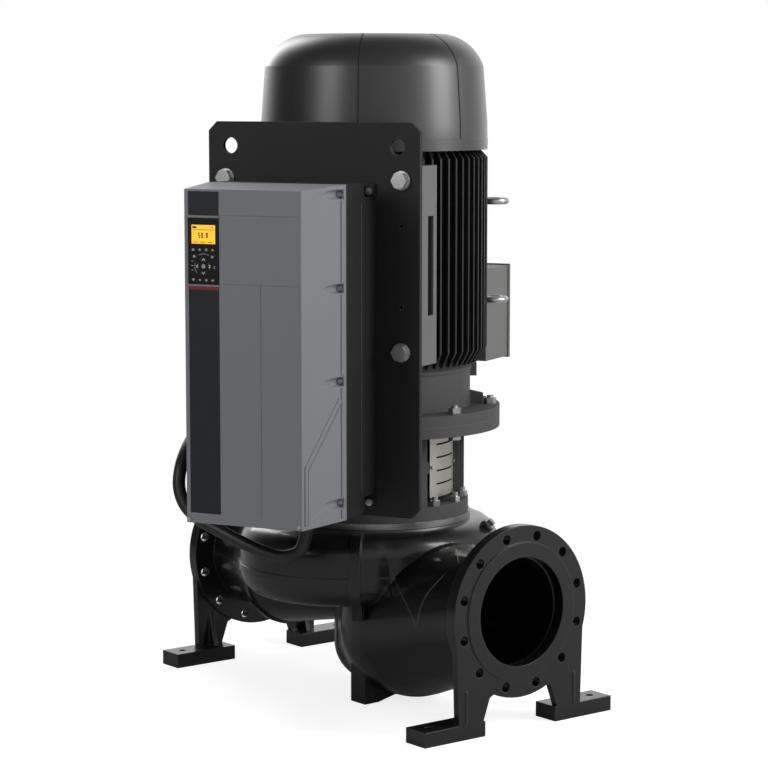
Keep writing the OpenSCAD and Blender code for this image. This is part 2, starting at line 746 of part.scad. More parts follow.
module cooling_fan() color("darkslategray") on_axis() translate([0, 0, frame_top + 48]) difference() {
    union() {
        cylinder(r = 60, h = 60);
        cylinder(r = 205, h = 5);
        around(9, 0) translate([55, -3, 1]) cube([148, 6, 64]);
    }
    translate([0, 0, -1]) cylinder(r = fan_shaft_r + fit, h = 100);
}

fan_shaft_r = 27;

// Rotor train

coupling_z = window_z + 66;
nut_h = 24;
impeller_low = scroll_low + cast_wall + 2;
neck_outer = 96;
vane_low = scroll_low + cast_wall + 48;
vane_h = 62;
impeller_r = 172;

module motor_shaft() color("lightgray") on_axis() {
    translate([0, 0, coupling_z + 4]) cylinder(r = shaft_r, h = frame_top - 40 - coupling_z - 4);
    translate([0, 0, frame_top - 41]) cylinder(r = end_shaft_r, h = 80);
    translate([0, 0, frame_top + 38]) cylinder(r = fan_shaft_r, h = 76);
}

module rotor_core() color("silver") on_axis() {
    translate([0, 0, core_low]) difference() {
        cylinder(r = rotor_r, h = core_high - core_low);
        translate([0, 0, -1]) cylinder(r = shaft_r + fit, h = 900);
    }
    // cast end rings with small blades
    for (z = [core_low - 22, core_high]) translate([0, 0, z]) {
        ring(rotor_r - 3, rotor_r - 30, 22);
        around(8, 0) translate([rotor_r - 26, -3, z < core_high ? -14 : 21]) cube([20, 6, 15]);
    }
}

module coupling() color("gray") on_axis() {
    // half on the motor shaft
    translate([0, 0, coupling_z]) difference() {
        union() {
            cylinder(r = 110, h = 24);
            cylinder(r = 64, h = pair_z - coupling_z - 12);
        }
        translate([0, 0, 3]) cylinder(r = shaft_r + fit, h = 200);
        coupling_holes(-1);
    }
    // half on the pump shaft
    translate([0, 0, coupling_z - 24]) difference() {
        union() {
            cylinder(r = 110, h = 24);
            translate([0, 0, -22]) cylinder(r = 50, h = 23);
        }
        translate([0, 0, -30]) cylinder(r = pump_shaft_r - 2 + fit, h = 50);
        coupling_holes(-1);
    }
}

module coupling_holes(z) {
    around(6, 0) translate([88, 0, z]) cylinder(d = 12 + 2 * fit, h = 40);
}

module coupling_bolts() color("silver") on_axis() around(6, 0) translate([88, 0, coupling_z - 24]) {
    translate([0, 0, -8]) hexagon(18, 8);
    translate([0, 0, -eps]) cylinder(d = 12, h = 62);
    translate([0, 0, 48]) hexagon(18, 10);
}

module pump_shaft() color("lightgray") on_axis() {
    translate([0, 0, hub_top]) cylinder(r = pump_shaft_r, h = coupling_z - 54 - hub_top);
    translate([0, 0, coupling_z - 55]) cylinder(r = pump_shaft_r - 2, h = 49);
    translate([0, 0, vane_low - 20]) cylinder(r = 24, h = hub_top - vane_low + 21);
    translate([0, 0, vane_low - 22 - nut_h]) cylinder(r = 12, h = nut_h + 3);
}

hub_top = vane_low + vane_h + 22;

module impeller_nut() color("silver") on_axis() translate([0, 0, vane_low - 20 - nut_h]) difference() {
    union() {
        hexagon(40, nut_h - 2);
        translate([0, 0, nut_h - 6]) cylinder(r = 28, h = 6);
    }
    translate([0, 0, -1]) cylinder(r = 12 + fit, h = 40);
}

// Closed impeller: back shroud with a hub, curved vanes and a front shroud with a neck.
module impeller() color("peru") on_axis() difference() {
    union() {
        translate([0, 0, vane_low + vane_h]) cylinder(r = impeller_r, h = 8);
        translate([0, 0, vane_low - 20]) cylinder(r = 44, h = hub_top - vane_low + 20);
        translate([0, 0, vane_low]) intersection() {
            ring(impeller_r, 50, vane_h + 1);
            around(7, 0) translate([0, -104, 0]) ring(108, 102, vane_h + 1);
        }
        translate([0, 0, vane_low - 7]) ring(impeller_r, eye_in, 8);
        translate([0, 0, impeller_low]) ring(neck_outer, eye_in, vane_low - impeller_low);
    }
    translate([0, 0, vane_low - 30]) cylinder(r = 24 + fit, h = 200);
}

eye_in = 86;

// Plate and brackets

module plate_outline() {
    x = plate_half;
    c = plate_cut;
    polygon([[-x, plate_low + c], [-x + c, plate_low], [x - c, plate_low], [x, plate_low + c],
        [x, plate_top - c], [x - c, plate_top], [-x + c, plate_top], [-x, plate_top - c]]);
}

plate_bolt_x = 223;
plate_bolt_z = [frame_z + 59.7, frame_top - 61.8];
dimple_z = [frame_z + 162, frame_top - 164.3];

module mounting_plate() color("dimgray") on_axis() difference() {
    translate([0, -plate_y + plate_t, 0]) rotate([90, 0, 0]) linear_extrude(plate_t) difference() {
        plate_outline();
        for (s = [-1, 1]) {
            translate([s * lift_x, plate_top - 55]) circle(d = lift_d);
            for (z = plate_bolt_z) translate([s * plate_bolt_x, z]) circle(d = 22);
            for (z = dimple_z) translate([s * plate_bolt_x, z]) circle(d = 9);
            for (z = ear_z) translate([s * ear_x, z]) circle(d = 8 + 2 * fit);
        }
    }
}

// Sheet channels between the plate and the pads of the motor.
module side_brackets() color("gray") on_axis() both_sides() difference() {
    back = plate_y - plate_t;
    low = frame_z + 26;
    high = frame_top - 30;
    union() {
        translate([bracket_half - bracket_t, -back, low]) cube([bracket_t, back - pad_top_y, high - low]);
        translate([bracket_half - 60, -back, low]) cube([60, bracket_t, high - low]);
        translate([pad_in_x, -pad_top_y - bracket_t, low]) cube([bracket_half - pad_in_x, bracket_t, high - low]);
    }
    translate([bracket_half - 20, -257, frame_z + 138]) cube([40, 30, frame_h - 282]);
    for (z = plate_bolt_z) translate([plate_bolt_x, -back - 1, z]) rotate([-90, 0, 0]) cylinder(d = 22, h = 12);
    for (z = pad_bolt_z) translate([pad_bolt_x, -pad_top_y - 10, z]) rotate([-90, 0, 0]) cylinder(d = 17, h = 12);
}

// Big bolts with washers through the plate, and the bolts in the motor pads.
module plate_bolts() color("silver") on_axis() both_sides() {
    for (z = plate_bolt_z) translate([plate_bolt_x, -plate_y, z]) rotate([-90, 0, 0]) {
        translate([0, 0, -4]) cylinder(d = 43, h = 4);
        translate([0, 0, -18]) hexagon(34, 14 + eps);
        translate([0, 0, -eps]) cylinder(d = 20, h = plate_t + bracket_t + 20);
        translate([0, 0, plate_t + bracket_t]) hexagon(30, 14);
    }
    for (z = pad_bolt_z) translate([pad_bolt_x, -pad_top_y - bracket_t, z]) rotate([-90, 0, 0]) {
        translate([0, 0, -10]) hexagon(24, 10);
        translate([0, 0, -eps]) cylinder(d = 16, h = bracket_t + 30);
    }
}

// Drive

ear_x = 147;
ear_z = [drive_low + 14, drive_top - 22];
ear_w = 34;
ear_t = 8;

module drive_chassis() color("dimgray") on_axis() difference() {
    union() {
        translate([-drive_half, -chassis_y, drive_low]) cube([2 * drive_half, 100, drive_top - drive_low]);
        translate([-drive_half + 6, -chassis_y + 99, drive_low + 5])
            cube([2 * drive_half - 12, chassis_d - 99, drive_top - drive_low - 10]);
    }
    // open inside, towards the cover
    translate([-drive_half + 12, -chassis_y - 1, drive_low + 10])
        cube([2 * drive_half - 24, chassis_d - 70, drive_top - drive_low - 20]);
    // corner pockets for the screws in the ears
    both_sides() for (z = [drive_low + ear_w - 6, drive_top - ear_w + 6]) translate([drive_half - 34,
        -plate_y - ear_t - 52, z < 800 ? drive_low - 1 : z - 6]) cube([40, 52, ear_w + 1]);
    both_sides() for (z = ear_z) translate([ear_x, -plate_y - ear_t - 1, z]) rotate([-90, 0, 0])
        cylinder(d = 8 + 2 * fit, h = ear_t + 2);
    // tapped holes of the cover screws
    both_sides() for (z = rim_screw_z) translate([rim_screw_x, -chassis_y - 1, z]) rotate([-90, 0, 0])
        cylinder(d = 5 + 2 * fit, h = 14);
    // cable entries
    for (g = glands) translate([g[0], -gland_y, drive_low - 1]) cylinder(r = g[1] + fit, h = 14);
}

rim_screw_x = drive_half - 4;
scoop_x = rim_screw_x + 4.5;
scoop_r = 10.5;
rim_screw_z = [drive_low + 41, drive_low + 311, drive_top - 226, drive_top - 21];
glands = [[32, 20], [-60, 12], [-105, 12]];
gland_y = 430;

module drive_screws() color("silver") on_axis() both_sides() for (z = ear_z)
    translate([ear_x, -plate_y - ear_t, z]) rotate([-90, 0, 0]) {
        translate([0, 0, -6]) cylinder(d = 16, h = 6);
        translate([0, 0, -eps]) cylinder(d = 8, h = ear_t + plate_t);
    }

// Tapered block between the rim and the face of the drive cover.
module cover_block(inset) {
    hull() {
        translate([-rim_half + inset, -chassis_y - 4, drive_low + inset])
            cube([2 * (rim_half - inset), 4, drive_top - drive_low - 2 * inset]);
        translate([-face_half + inset, -face_y + inset, drive_low - 1.3 + inset])
            cube([2 * (face_half - inset), 1, drive_top - drive_low - 7.5 - 2 * inset]);
    }
}

panel_low = drive_low + 21;
panel_high = drive_top - 13.5;
keypad_low = drive_top - 216;
keypad_high = drive_top - 71.5;
upper_low = drive_top - 64.2;

module drive_cover() color("slategray") on_axis() difference() {
    cover_block(0);
    // hollow, open to the chassis
    difference() {
        cover_block(shell_t);
        // the dark column keeps a floor behind it
        translate([column_left - 6, -face_y, panel_low - 6])
            cube([column_right - column_left + 12, recess_d + shell_t, panel_high - panel_low + 12]);
        // walls around the scoops of the rim screws
        both_sides() for (z = rim_screw_z) translate([scoop_x, -chassis_y + 2, z]) rotate([90, 0, 0])
            cylinder(r = scoop_r + shell_t, h = 116);
    }
    translate([-rim_half + shell_t, -chassis_y - 0.5, drive_low + shell_t])
        cube([2 * (rim_half - shell_t), 1, drive_top - drive_low - 2 * shell_t]);
    // recess of the dark column
    translate([column_left, -face_y - 1, panel_low])
        cube([column_right - column_left, recess_d + 1, panel_high - panel_low]);
    // fine grooves in the face
    for (z = [keypad_low + 1, upper_low - 2]) translate([-47, -face_y - 1, z]) cube([178, 2, 1.6]);
    translate([44, -face_y - 1, panel_low]) cube([1.6, 2, keypad_low - panel_low]);
    // scoops of the rim screws, which run out through the sloped sides
    both_sides() for (z = rim_screw_z) translate([scoop_x, -chassis_y - 12, z]) rotate([90, 0, 0])
        cylinder(r = scoop_r, h = 200);
    both_sides() for (z = rim_screw_z) translate([rim_screw_x, -chassis_y - 13, z]) rotate([-90, 0, 0])
        cylinder(d = 5 + 2 * fit, h = 18);
    both_sides() translate([face_half - 7, -face_y - 1, drive_low + 6]) rotate([-90, 0, 0])
        cylinder(d = 4 + 2 * fit, h = shell_t + 3);
}

module cover_screws() color("silver") on_axis() both_sides() {
    for (z = rim_screw_z) translate([rim_screw_x, -chassis_y - 12, z]) rotate([-90, 0, 0]) {
        translate([0, 0, -5]) cylinder(d = 10, h = 5);
        translate([0, 0, -eps]) cylinder(d = 5, h = 12 + 12);
    }
    translate([face_half - 7, -face_y, drive_low + 6]) rotate([-90, 0, 0]) {
        translate([0, 0, -2.5]) cylinder(d = 9, h = 2.5);
        translate([0, 0, -eps]) cylinder(d = 4, h = shell_t);
    }
}

// A flat panel in the dark column, from z low to z high.
module column_panel(low, high, proud) {
    translate([column_left + panel_gap, -face_y - proud, low + panel_gap])
        cube([column_right - column_left - 2 * panel_gap, recess_d + proud, high - low - 2 * panel_gap]);
}

module upper_panel() color("darkslategray") on_axis() column_panel(keypad_high, panel_high, -1);

module lower_panel() color("darkslategray") on_axis() column_panel(panel_low, keypad_low, -1);

keypad_proud = 2;
display_left = -124;
display_right = -65;
display_low = drive_top - 127.3;
display_high = drive_top - 86;

module keypad_case() color("black") on_axis() difference() {
    column_panel(keypad_low, keypad_high, keypad_proud);
    translate([display_left, -face_y - keypad_proud - 1, display_low])
        cube([display_right - display_left, 1 + 2, display_high - display_low]);
    for (k = keys) translate([k[0], -face_y - keypad_proud - 1, k[1]]) rotate([-90, 0, 0])
        key_shape(k, key_gap, 1 + key_depth);
    for (z = light_z) translate([light_x, -face_y - keypad_proud - 1, z]) rotate([-90, 0, 0])
        cylinder(d = 3 + 2 * fit, h = 3);
}

module keypad_display() color("orange") on_axis()
    translate([display_left + fit, -face_y - keypad_proud + 0.5, display_low + fit])
        cube([display_right - display_left - 2 * fit, 1.5, display_high - display_low - 2 * fit]);

light_x = -127;
light_z = [drive_top - 185, drive_top - 175, drive_top - 165];

module keypad_lights() color("lime") on_axis() for (z = light_z)
    translate([light_x, -face_y - keypad_proud - 0.4, z]) rotate([-90, 0, 0]) cylinder(d = 3, h = 2.4);

// Keys: x, z, width and height; a height of 0 stands for a round key of that width.
key_depth = 4;
soft_z = drive_top - 140;
row_z = drive_top - 206;
pad_x = -94;
pad_z = drive_top - 176;
back_z = drive_top - 155;
keys = [
    [-119, soft_z, 12, 6], [-103, soft_z, 12, 6], [-87, soft_z, 12, 6], [-71, soft_z, 12, 6],
    [-116, back_z, 13, 6], [-72, back_z, 13, 6], [-67, pad_z - 2, 12, 7],
    [pad_x, pad_z + 14.5, 16, 8], [pad_x, pad_z - 14.5, 16, 8],
    [pad_x - 15, pad_z, 8, 16], [pad_x + 15, pad_z, 8, 16], [pad_x, pad_z, 13, 0],
    [-119, row_z, 12, 7], [-103, row_z, 12, 7], [-87, row_z, 12, 7], [-71, row_z, 12, 7]];

// The outline of a key, grown by gap, as a solid of depth h.
module key_shape(k, gap, h) {
    if (k[3] == 0) cylinder(d = k[2] + 2 * gap, h = h, $fn = 48);
    else translate([-k[2] / 2 - gap, -k[3] / 2 - gap, 0]) cube([k[2] + 2 * gap, k[3] + 2 * gap, h]);
}

// A key stands proud by its travel and a little more, with room to sink behind it.
module key(i) {
    color("dimgray") on_axis() translate([keys[i][0], -face_y - keypad_proud - key_travel - 0.4, keys[i][1]])
        rotate([-90, 0, 0]) key_shape(keys[i], 0, key_depth + 0.2);
}

// Glands and cable

gland_h = 34;

module cable_glands() color("black") on_axis() {
    for (g = glands) translate([g[0], -gland_y, 0]) {
        translate([0, 0, drive_low - 8]) hexagon(2 * g[1] + 10, 8);
        translate([0, 0, drive_low - 8]) cylinder(r = g[1], h = 18);
        translate([0, 0, drive_low - gland_h + 10]) cylinder(r = g[1] - 1, h = gland_h - 17);
    }
    // gland in the floor of the terminal box
    translate([cable_end_x, cable_end_y, 0]) {
        translate([0, 0, box_z - 8]) hexagon(50, 8);
        translate([0, 0, box_z - 9]) cylinder(r = 20, h = 17);
        translate([0, 0, box_z - 26]) cylinder(r = 19, h = 18);
    }
}

// The cable leaves the drive downwards, loops to the left of the drive and climbs
// behind the plate to the terminal box. Points in the frame of the motor.
cable_route = [[32, -430, drive_low - 24], [30, -430, 440], [15, -430, 405], [-25, -430, 390], [-70, -430, 395],
    [-140, -430, 417], [-190, -430, 437], [-240, -430, 458], [-280, -430, 488], [-300, -425, 530],
    [-304, -410, 575], [-310, -370, 612], [-322, -310, 638], [-330, -240, 658], [-333, -160, 676],
    [-330, -80, 688], [-322, 0, 692], [-308, 80, 690], [-285, 160, 685], [-250, 230, 680],
    [-205, 290, 680], [-155, cable_end_y - 20, 688],
    [-118, cable_end_y - 4, 708], [-102, cable_end_y, 730], [-100, cable_end_y, box_z - 26]];
cable_sides = 10;

function unit(v) = v / norm(v);
function heading(i) = unit(cable_route[min(i + 1, len(cable_route) - 1)] - cable_route[max(i - 1, 0)]);
function flow(i) = i == 0 ? [0, 0, -1] : i == len(cable_route) - 1 ? [0, 0, 1] : heading(i);

// A side direction that is carried along the route without twisting.
carried = [for (i = 0, u = [0, 1, 0]; i < len(cable_route); i = i + 1,
    u = i < len(cable_route) ? unit(u - flow(i) * (u * flow(i))) : u) u];
function cable_ring(i) = let (d = flow(i), u = carried[i], v = cross(d, u))
    [for (k = [0 : cable_sides - 1]) let (a = 360 * k / cable_sides)
        cable_route[i] + cable_d / 2 * (u * cos(a) + v * sin(a))];

module motor_cable() color("black") on_axis() {
    n = len(cable_route);
    m = cable_sides;
    points = [for (i = [0 : n - 1]) each cable_ring(i)];
    sides = [for (i = [0 : n - 2], k = [0 : m - 1]) each [
        [i * m + k, i * m + (k + 1) % m, (i + 1) * m + k],
        [i * m + (k + 1) % m, (i + 1) * m + (k + 1) % m, (i + 1) * m + k]]];
    polyhedron(points, concat([[for (k = [m - 1 : -1 : 0]) k]], sides,
        [[for (k = [0 : m - 1]) (n - 1) * m + k]]));
}

pump_housing();
wear_ring();
housing_plugs();
pump_cover();
seal_seat();
motor_stool();
stool_studs();
coupling_guards();
guard_screws();
pair_bolts();
motor_flange();
motor_frame();
motor_end_shield();
stator();
motor_bearings();
fan_cover();
terminal_box();
terminal_lid();
case_screws();
eye_bolts();
mounting_plate();
side_brackets();
plate_bolts();
drive_chassis();
drive_screws();
drive_cover();
cover_screws();
upper_panel();
lower_panel();
keypad_case();
keypad_display();
keypad_lights();
cable_glands();
motor_cable();
pump_shaft();
impeller();
impeller_nut();
seal_ring();
coupling();
coupling_bolts();
motor_shaft();
rotor_core();
cooling_fan();
key(0);  // key_1
key(1);  // key_2
key(2);  // key_3
key(3);  // key_4
key(4);  // key_back
key(5);  // key_cancel
key(6);  // key_info
key(7);  // key_up
key(8);  // key_down
key(9);  // key_left
key(10);  // key_right
key(11);  // key_ok
key(12);  // key_hand
key(13);  // key_off
key(14);  // key_auto
key(15);  // key_reset
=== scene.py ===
"""In-line circulation pump: looks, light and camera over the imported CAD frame."""

import json
import math

import bmesh
import bpy
from mathutils import Matrix, Vector
from mathutils.bvhtree import BVHTree


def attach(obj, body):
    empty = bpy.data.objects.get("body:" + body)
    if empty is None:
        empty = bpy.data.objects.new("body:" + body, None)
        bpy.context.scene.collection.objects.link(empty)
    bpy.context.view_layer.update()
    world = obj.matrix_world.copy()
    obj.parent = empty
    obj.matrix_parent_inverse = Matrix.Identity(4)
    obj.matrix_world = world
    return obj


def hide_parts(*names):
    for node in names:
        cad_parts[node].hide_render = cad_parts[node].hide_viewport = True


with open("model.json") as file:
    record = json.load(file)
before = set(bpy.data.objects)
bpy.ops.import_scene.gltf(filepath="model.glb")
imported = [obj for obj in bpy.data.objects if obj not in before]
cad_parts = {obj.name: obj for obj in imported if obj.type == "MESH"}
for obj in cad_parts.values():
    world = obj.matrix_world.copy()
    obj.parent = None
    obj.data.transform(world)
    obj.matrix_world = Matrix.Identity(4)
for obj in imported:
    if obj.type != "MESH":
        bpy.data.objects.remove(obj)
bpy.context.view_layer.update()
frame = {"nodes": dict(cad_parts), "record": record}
nodes = frame["nodes"]
MM = 0.001

# the motor and the drive stand turned about the shaft axis
AXIS_X = -14.5
TURN = math.radians(26.6)
# about where the camera stands round the object, in degrees
VIEW_SIDE = 51.7


def motor_point(x, y, z):
    """A point given in the frame of the motor, in millimetres, in the row frame in metres."""
    c, s = math.cos(TURN), math.sin(TURN)
    return Vector((AXIS_X + c * x - s * y, s * x + c * y, z)) * MM


def around(azimuth, elevation=0.0):
    """A direction at an angle round the object, from the front to the right, and over the floor."""
    az, el = math.radians(azimuth), math.radians(elevation)
    return Vector((math.sin(az) * math.cos(el), -math.cos(az) * math.cos(el), math.sin(el)))


def add_object(name, data):
    """Puts a mesh, a lamp or a camera into the scene."""
    obj = bpy.data.objects.new(name, data)
    bpy.context.scene.collection.objects.link(obj)
    return obj


def add_mesh(name, bm):
    """Puts what a bmesh holds into the scene."""
    mesh = bpy.data.meshes.new(name)
    bm.to_mesh(mesh)
    bm.free()
    return add_object(name, mesh)


# ---------------------------------------------------------------- materials

def linear(value):
    """An sRGB level from 0 to 255 as a linear one."""
    v = value / 255
    return v / 12.92 if v <= 0.04045 else ((v + 0.055) / 1.055) ** 2.4


def rgb(r, g, b):
    return (linear(r), linear(g), linear(b), 1)


class Nodes:
    """Short hand for building a node tree."""

    def __init__(self, tree):
        self.tree = tree

    def new(self, kind, **values):
        """Adds a node and sets its properties."""
        node = self.tree.nodes.new(kind)
        for key, value in values.items():
            setattr(node, key, value)
        return node

    def link(self, a, b):
        self.tree.links.new(a, b)

    def noise(self, place, scale, detail):
        node = self.new("ShaderNodeTexNoise")
        node.inputs["Scale"].default_value = scale
        node.inputs["Detail"].default_value = detail
        self.link(place, node.inputs["Vector"])
        return node.outputs["Fac"]

    def ramp(self, value, start, end, low=0.0, high=1.0, kind="LINEAR"):
        """Maps a value from start..end to low..high."""
        node = self.new("ShaderNodeMapRange", interpolation_type=kind)
        for socket, number in (("From Min", start), ("From Max", end), ("To Min", low), ("To Max", high)):
            node.inputs[socket].default_value = number
        self.link(value, node.inputs["Value"])
        return node.outputs["Result"]

    def feed(self, socket, value):
        """Links an output to an input, or gives the input a value of its own."""
        if isinstance(value, bpy.types.NodeSocket):
            self.link(value, socket)
        else:
            socket.default_value = value

    def math(self, operation, a, b):
        node = self.new("ShaderNodeMath", operation=operation)
        self.link(a, node.inputs[0])
        self.link(b, node.inputs[1])
        return node.outputs["Value"]

    def dot(self, a, b):
        node = self.new("ShaderNodeVectorMath", operation="DOT_PRODUCT")
        self.link(a, node.inputs[0])
        self.feed(node.inputs[1], b)
        return node.outputs["Value"]

    def mix(self, kind, a, b, factor):
        node = self.new("ShaderNodeMix", data_type=kind)
        self.feed(node.inputs["A"], a)
        self.feed(node.inputs["B"], b)
        self.link(factor, node.inputs["Factor"])
        return node.outputs["Result"]

    def blend(self, a, b, factor):
        """Mixes two shaders."""
        node = self.new("ShaderNodeMixShader")
        self.link(factor, node.inputs["Fac"])
        self.link(a, node.inputs[1])
        self.link(b, node.inputs[2])
        return node.outputs["Shader"]


def scaled(color, k):
    return (color[0] * k, color[1] * k, color[2] * k, 1)


def finish(name, color, rough, metal=0.0, vary=0.12, patch=6.0, grain=900.0, bump=0.1, depth=0.0002,
           edge=0.0012, edge_wear_and_highlight=None, coat=0.0, coat_rough=0.12, specular=0.5, stretch=None, emit=0.0):
    """A procedural finish: patchy colour and gloss, a fine surface grain, rounded edges made lighter as wear and as
    painted highlight.

    The scales of the patches and of the grain are patch and grain. The grain's relief has bump and depth,
    edge is the radius of the rounded edges in metres, and the colour after it is theirs, partly wear and partly
    painted highlight.
    """
    mat = bpy.data.materials.new(name)
    mat.use_nodes = True
    n = Nodes(mat.node_tree)
    bsdf = mat.node_tree.nodes["Principled BSDF"]
    bsdf.inputs["Metallic"].default_value = metal
    bsdf.inputs["Coat Weight"].default_value = coat
    bsdf.inputs["Coat Roughness"].default_value = coat_rough
    bsdf.inputs["Specular IOR Level"].default_value = specular
    coord = n.new("ShaderNodeTexCoord")
    place = coord.outputs["Object"]
    if stretch:
        mapping = n.new("ShaderNodeMapping")
        mapping.inputs["Scale"].default_value = stretch
        n.link(place, mapping.inputs["Vector"])
        place = mapping.outputs["Vector"]

    broad = n.noise(coord.outputs["Object"], patch, 5)
    fine = n.noise(place, grain, 3)
    color_out = n.mix("RGBA", scaled(color, 1 - vary), scaled(color, 1 + vary), broad)

    bevel = n.new("ShaderNodeBevel", samples=4)
    bevel.inputs["Radius"].default_value = edge
    if edge_wear_and_highlight:
        # lighter edges, partly wear and partly painted highlight: the rounded normal leaves the true one, by some 6
        # to 30 degrees, only along edges
        true = n.new("ShaderNodeNewGeometry")
        alike = n.dot(bevel.outputs["Normal"], true.outputs["Normal"])
        color_out = n.mix("RGBA", color_out, edge_wear_and_highlight, n.ramp(alike, 0.995, 0.86, 0.0, 0.7))
    n.link(color_out, bsdf.inputs["Base Color"])

    gloss = n.ramp(broad, 0.0, 1.0, max(0.04, rough - 0.06), min(1.0, rough + 0.06))
    n.link(gloss, bsdf.inputs["Roughness"])

    relief = n.new("ShaderNodeBump")
    relief.inputs["Strength"].default_value = bump
    relief.inputs["Distance"].default_value = depth
    n.link(fine, relief.inputs["Height"])
    n.link(bevel.outputs["Normal"], relief.inputs["Normal"])
    n.link(relief.outputs["Normal"], bsdf.inputs["Normal"])
    if emit:
        bsdf.inputs["Emission Color"].default_value = color
        bsdf.inputs["Emission Strength"].default_value = emit
    return mat


# the lighter edge colours below are partly wear and partly painted highlight
looks = {
    "black_casting": finish("gloss_black_paint", rgb(16, 16, 17), 0.34, vary=0.2, patch=5, grain=260, bump=0.3,
                            depth=0.0005, edge=0.0045, edge_wear_and_highlight=rgb(62, 62, 63), coat=0.5, specular=0.3),
    "grey_casting": finish("grey_cast_paint", rgb(68, 68, 68), 0.6, vary=0.2, patch=14, grain=420, bump=0.7,
                           depth=0.0009, edge=0.002, edge_wear_and_highlight=rgb(112, 112, 110)),
    "machined_steel": finish("machined_steel", rgb(150, 151, 150), 0.36, metal=1.0, grain=500, bump=0.15,
                             stretch=(1, 1, 12), edge=0.0008),
    "zinc": finish("zinc_plated", rgb(192, 194, 192), 0.34, metal=0.92, vary=0.15, patch=60, grain=700, bump=0.12,
                   edge=0.0008),
    "bronze": finish("bronze", rgb(176, 130, 84), 0.4, metal=1.0, grain=300, bump=0.3),
    "stainless": finish("stainless", rgb(165, 165, 165), 0.3, metal=1.0, grain=400, bump=0.15, stretch=(1, 1, 9)),
    "seal_dark": finish("seal_dark", rgb(50, 50, 52), 0.5),
    "guard_sheet": finish("guard_sheet", rgb(188, 186, 178), 0.38, metal=0.9, vary=0.08, patch=20, grain=300,
                          bump=0.12, stretch=(1, 1, 8), edge=0.0006),
    "black_motor": finish("black_motor_paint", rgb(27, 27, 27), 0.45, vary=0.15, patch=8, grain=700, bump=0.2,
                          edge=0.0012, edge_wear_and_highlight=rgb(64, 64, 64), specular=0.4),
    "black_hood": finish("black_hood_paint", rgb(27, 27, 28), 0.46, vary=0.06, patch=3, grain=900, bump=0.05,
                         edge=0.0015, coat=1.0, coat_rough=0.34),
    "grey_box": finish("grey_box_paint", rgb(108, 108, 107), 0.5, vary=0.08, patch=9, grain=900, bump=0.15,
                       edge=0.004),
    "black_plate": finish("black_powder_coat", rgb(27, 27, 28), 0.55, vary=0.12, patch=10, grain=1000, bump=0.6,
                          depth=0.0005, edge=0.0014, edge_wear_and_highlight=rgb(120, 120, 120), specular=0.35),
    "grey_bracket": finish("grey_bracket_paint", rgb(102, 102, 101), 0.5, vary=0.1, patch=9, grain=900, bump=0.15,
                           edge=0.001),
    "black_drive": finish("black_drive_paint", rgb(26, 26, 27), 0.5, vary=0.1, patch=8, grain=1100, bump=0.2,
                          edge=0.0015, specular=0.3),
    "drive_grey": finish("drive_grey_paint", rgb(122, 123, 128), 0.46, vary=0.04, patch=4, grain=1500, bump=0.12,
                         edge=0.003, edge_wear_and_highlight=rgb(140, 141, 146)),
    "column_dark": finish("column_dark_plastic", rgb(35, 38, 42), 0.42, vary=0.06, patch=12, grain=1500, bump=0.1,
                          edge=0.0008, specular=0.3),
    "keypad_black": finish("keypad_black_plastic", rgb(16, 15, 15), 0.42, vary=0.08, patch=30, grain=1800,
                           bump=0.15, edge=0.0006, specular=0.25),
    "display_amber": finish("display_amber", rgb(248, 184, 58), 0.3, vary=0.05, patch=40, grain=2500, bump=0.02,
                            edge=0.0003, emit=0.72),
    "light_lens": finish("light_lens", rgb(34, 62, 40), 0.25, vary=0.1, patch=60, grain=2500, bump=0.02,
                         edge=0.0003, emit=0.05),
    "key_rubber": finish("key_rubber", rgb(24, 24, 25), 0.6, vary=0.08, patch=60, grain=2500, bump=0.15,
                         edge=0.0008),
    "gland_black": finish("gland_black_plastic", rgb(26, 26, 26), 0.45, vary=0.1, patch=30, grain=1500, bump=0.15),
    "cable_black": finish("cable_black_rubber", rgb(24, 24, 24), 0.45, vary=0.12, patch=20, grain=1200, bump=0.2),
    "core_steel": finish("core_steel", rgb(120, 116, 110), 0.5, metal=0.9, grain=600, bump=0.4, stretch=(1, 1, 20)),
    "fan_plastic": finish("fan_plastic", rgb(38, 38, 38), 0.5, vary=0.1, patch=20, grain=1200, bump=0.2),
}
# looks of trim, and of lines of painted shadow and painted highlight
looks.update({
    "stripe_red": finish("stripe_red", rgb(128, 28, 40), 0.4, vary=0.08, patch=40, grain=2000, bump=0.1),
    "display_ink": finish("display_ink", rgb(40, 24, 6), 0.5, vary=0.05, patch=40, grain=2000, bump=0.02),
    "key_mark": finish("key_mark", rgb(225, 225, 225), 0.5, vary=0.05, patch=60, grain=2000, bump=0.05),
    "ridge_painted_highlight": finish("ridge_painted_highlight", rgb(58, 58, 59), 0.34, vary=0.2, patch=9, grain=260, bump=0.3,
                            depth=0.0005, edge=0.001, coat=0.5),
    "groove_painted_shade": finish("groove_shadow", rgb(74, 75, 79), 0.6, vary=0.05, patch=20, grain=900, bump=0.05),
    "seam_painted_highlight": finish("seam_painted_highlight", rgb(74, 74, 75), 0.5, vary=0.05, patch=20, grain=900, bump=0.05),
    "seam": finish("seam_shadow", rgb(9, 9, 9), 0.8, vary=0.05, patch=20, grain=900, bump=0.05),
})
slot_of = {part["node"]: part["material_slot"] for part in frame["record"]["subparts"]}


def wear(obj, mat):
    """Puts one material on all of an object."""
    if not obj.material_slots:
        obj.data.materials.append(mat)
    for slot in obj.material_slots:
        slot.material = mat


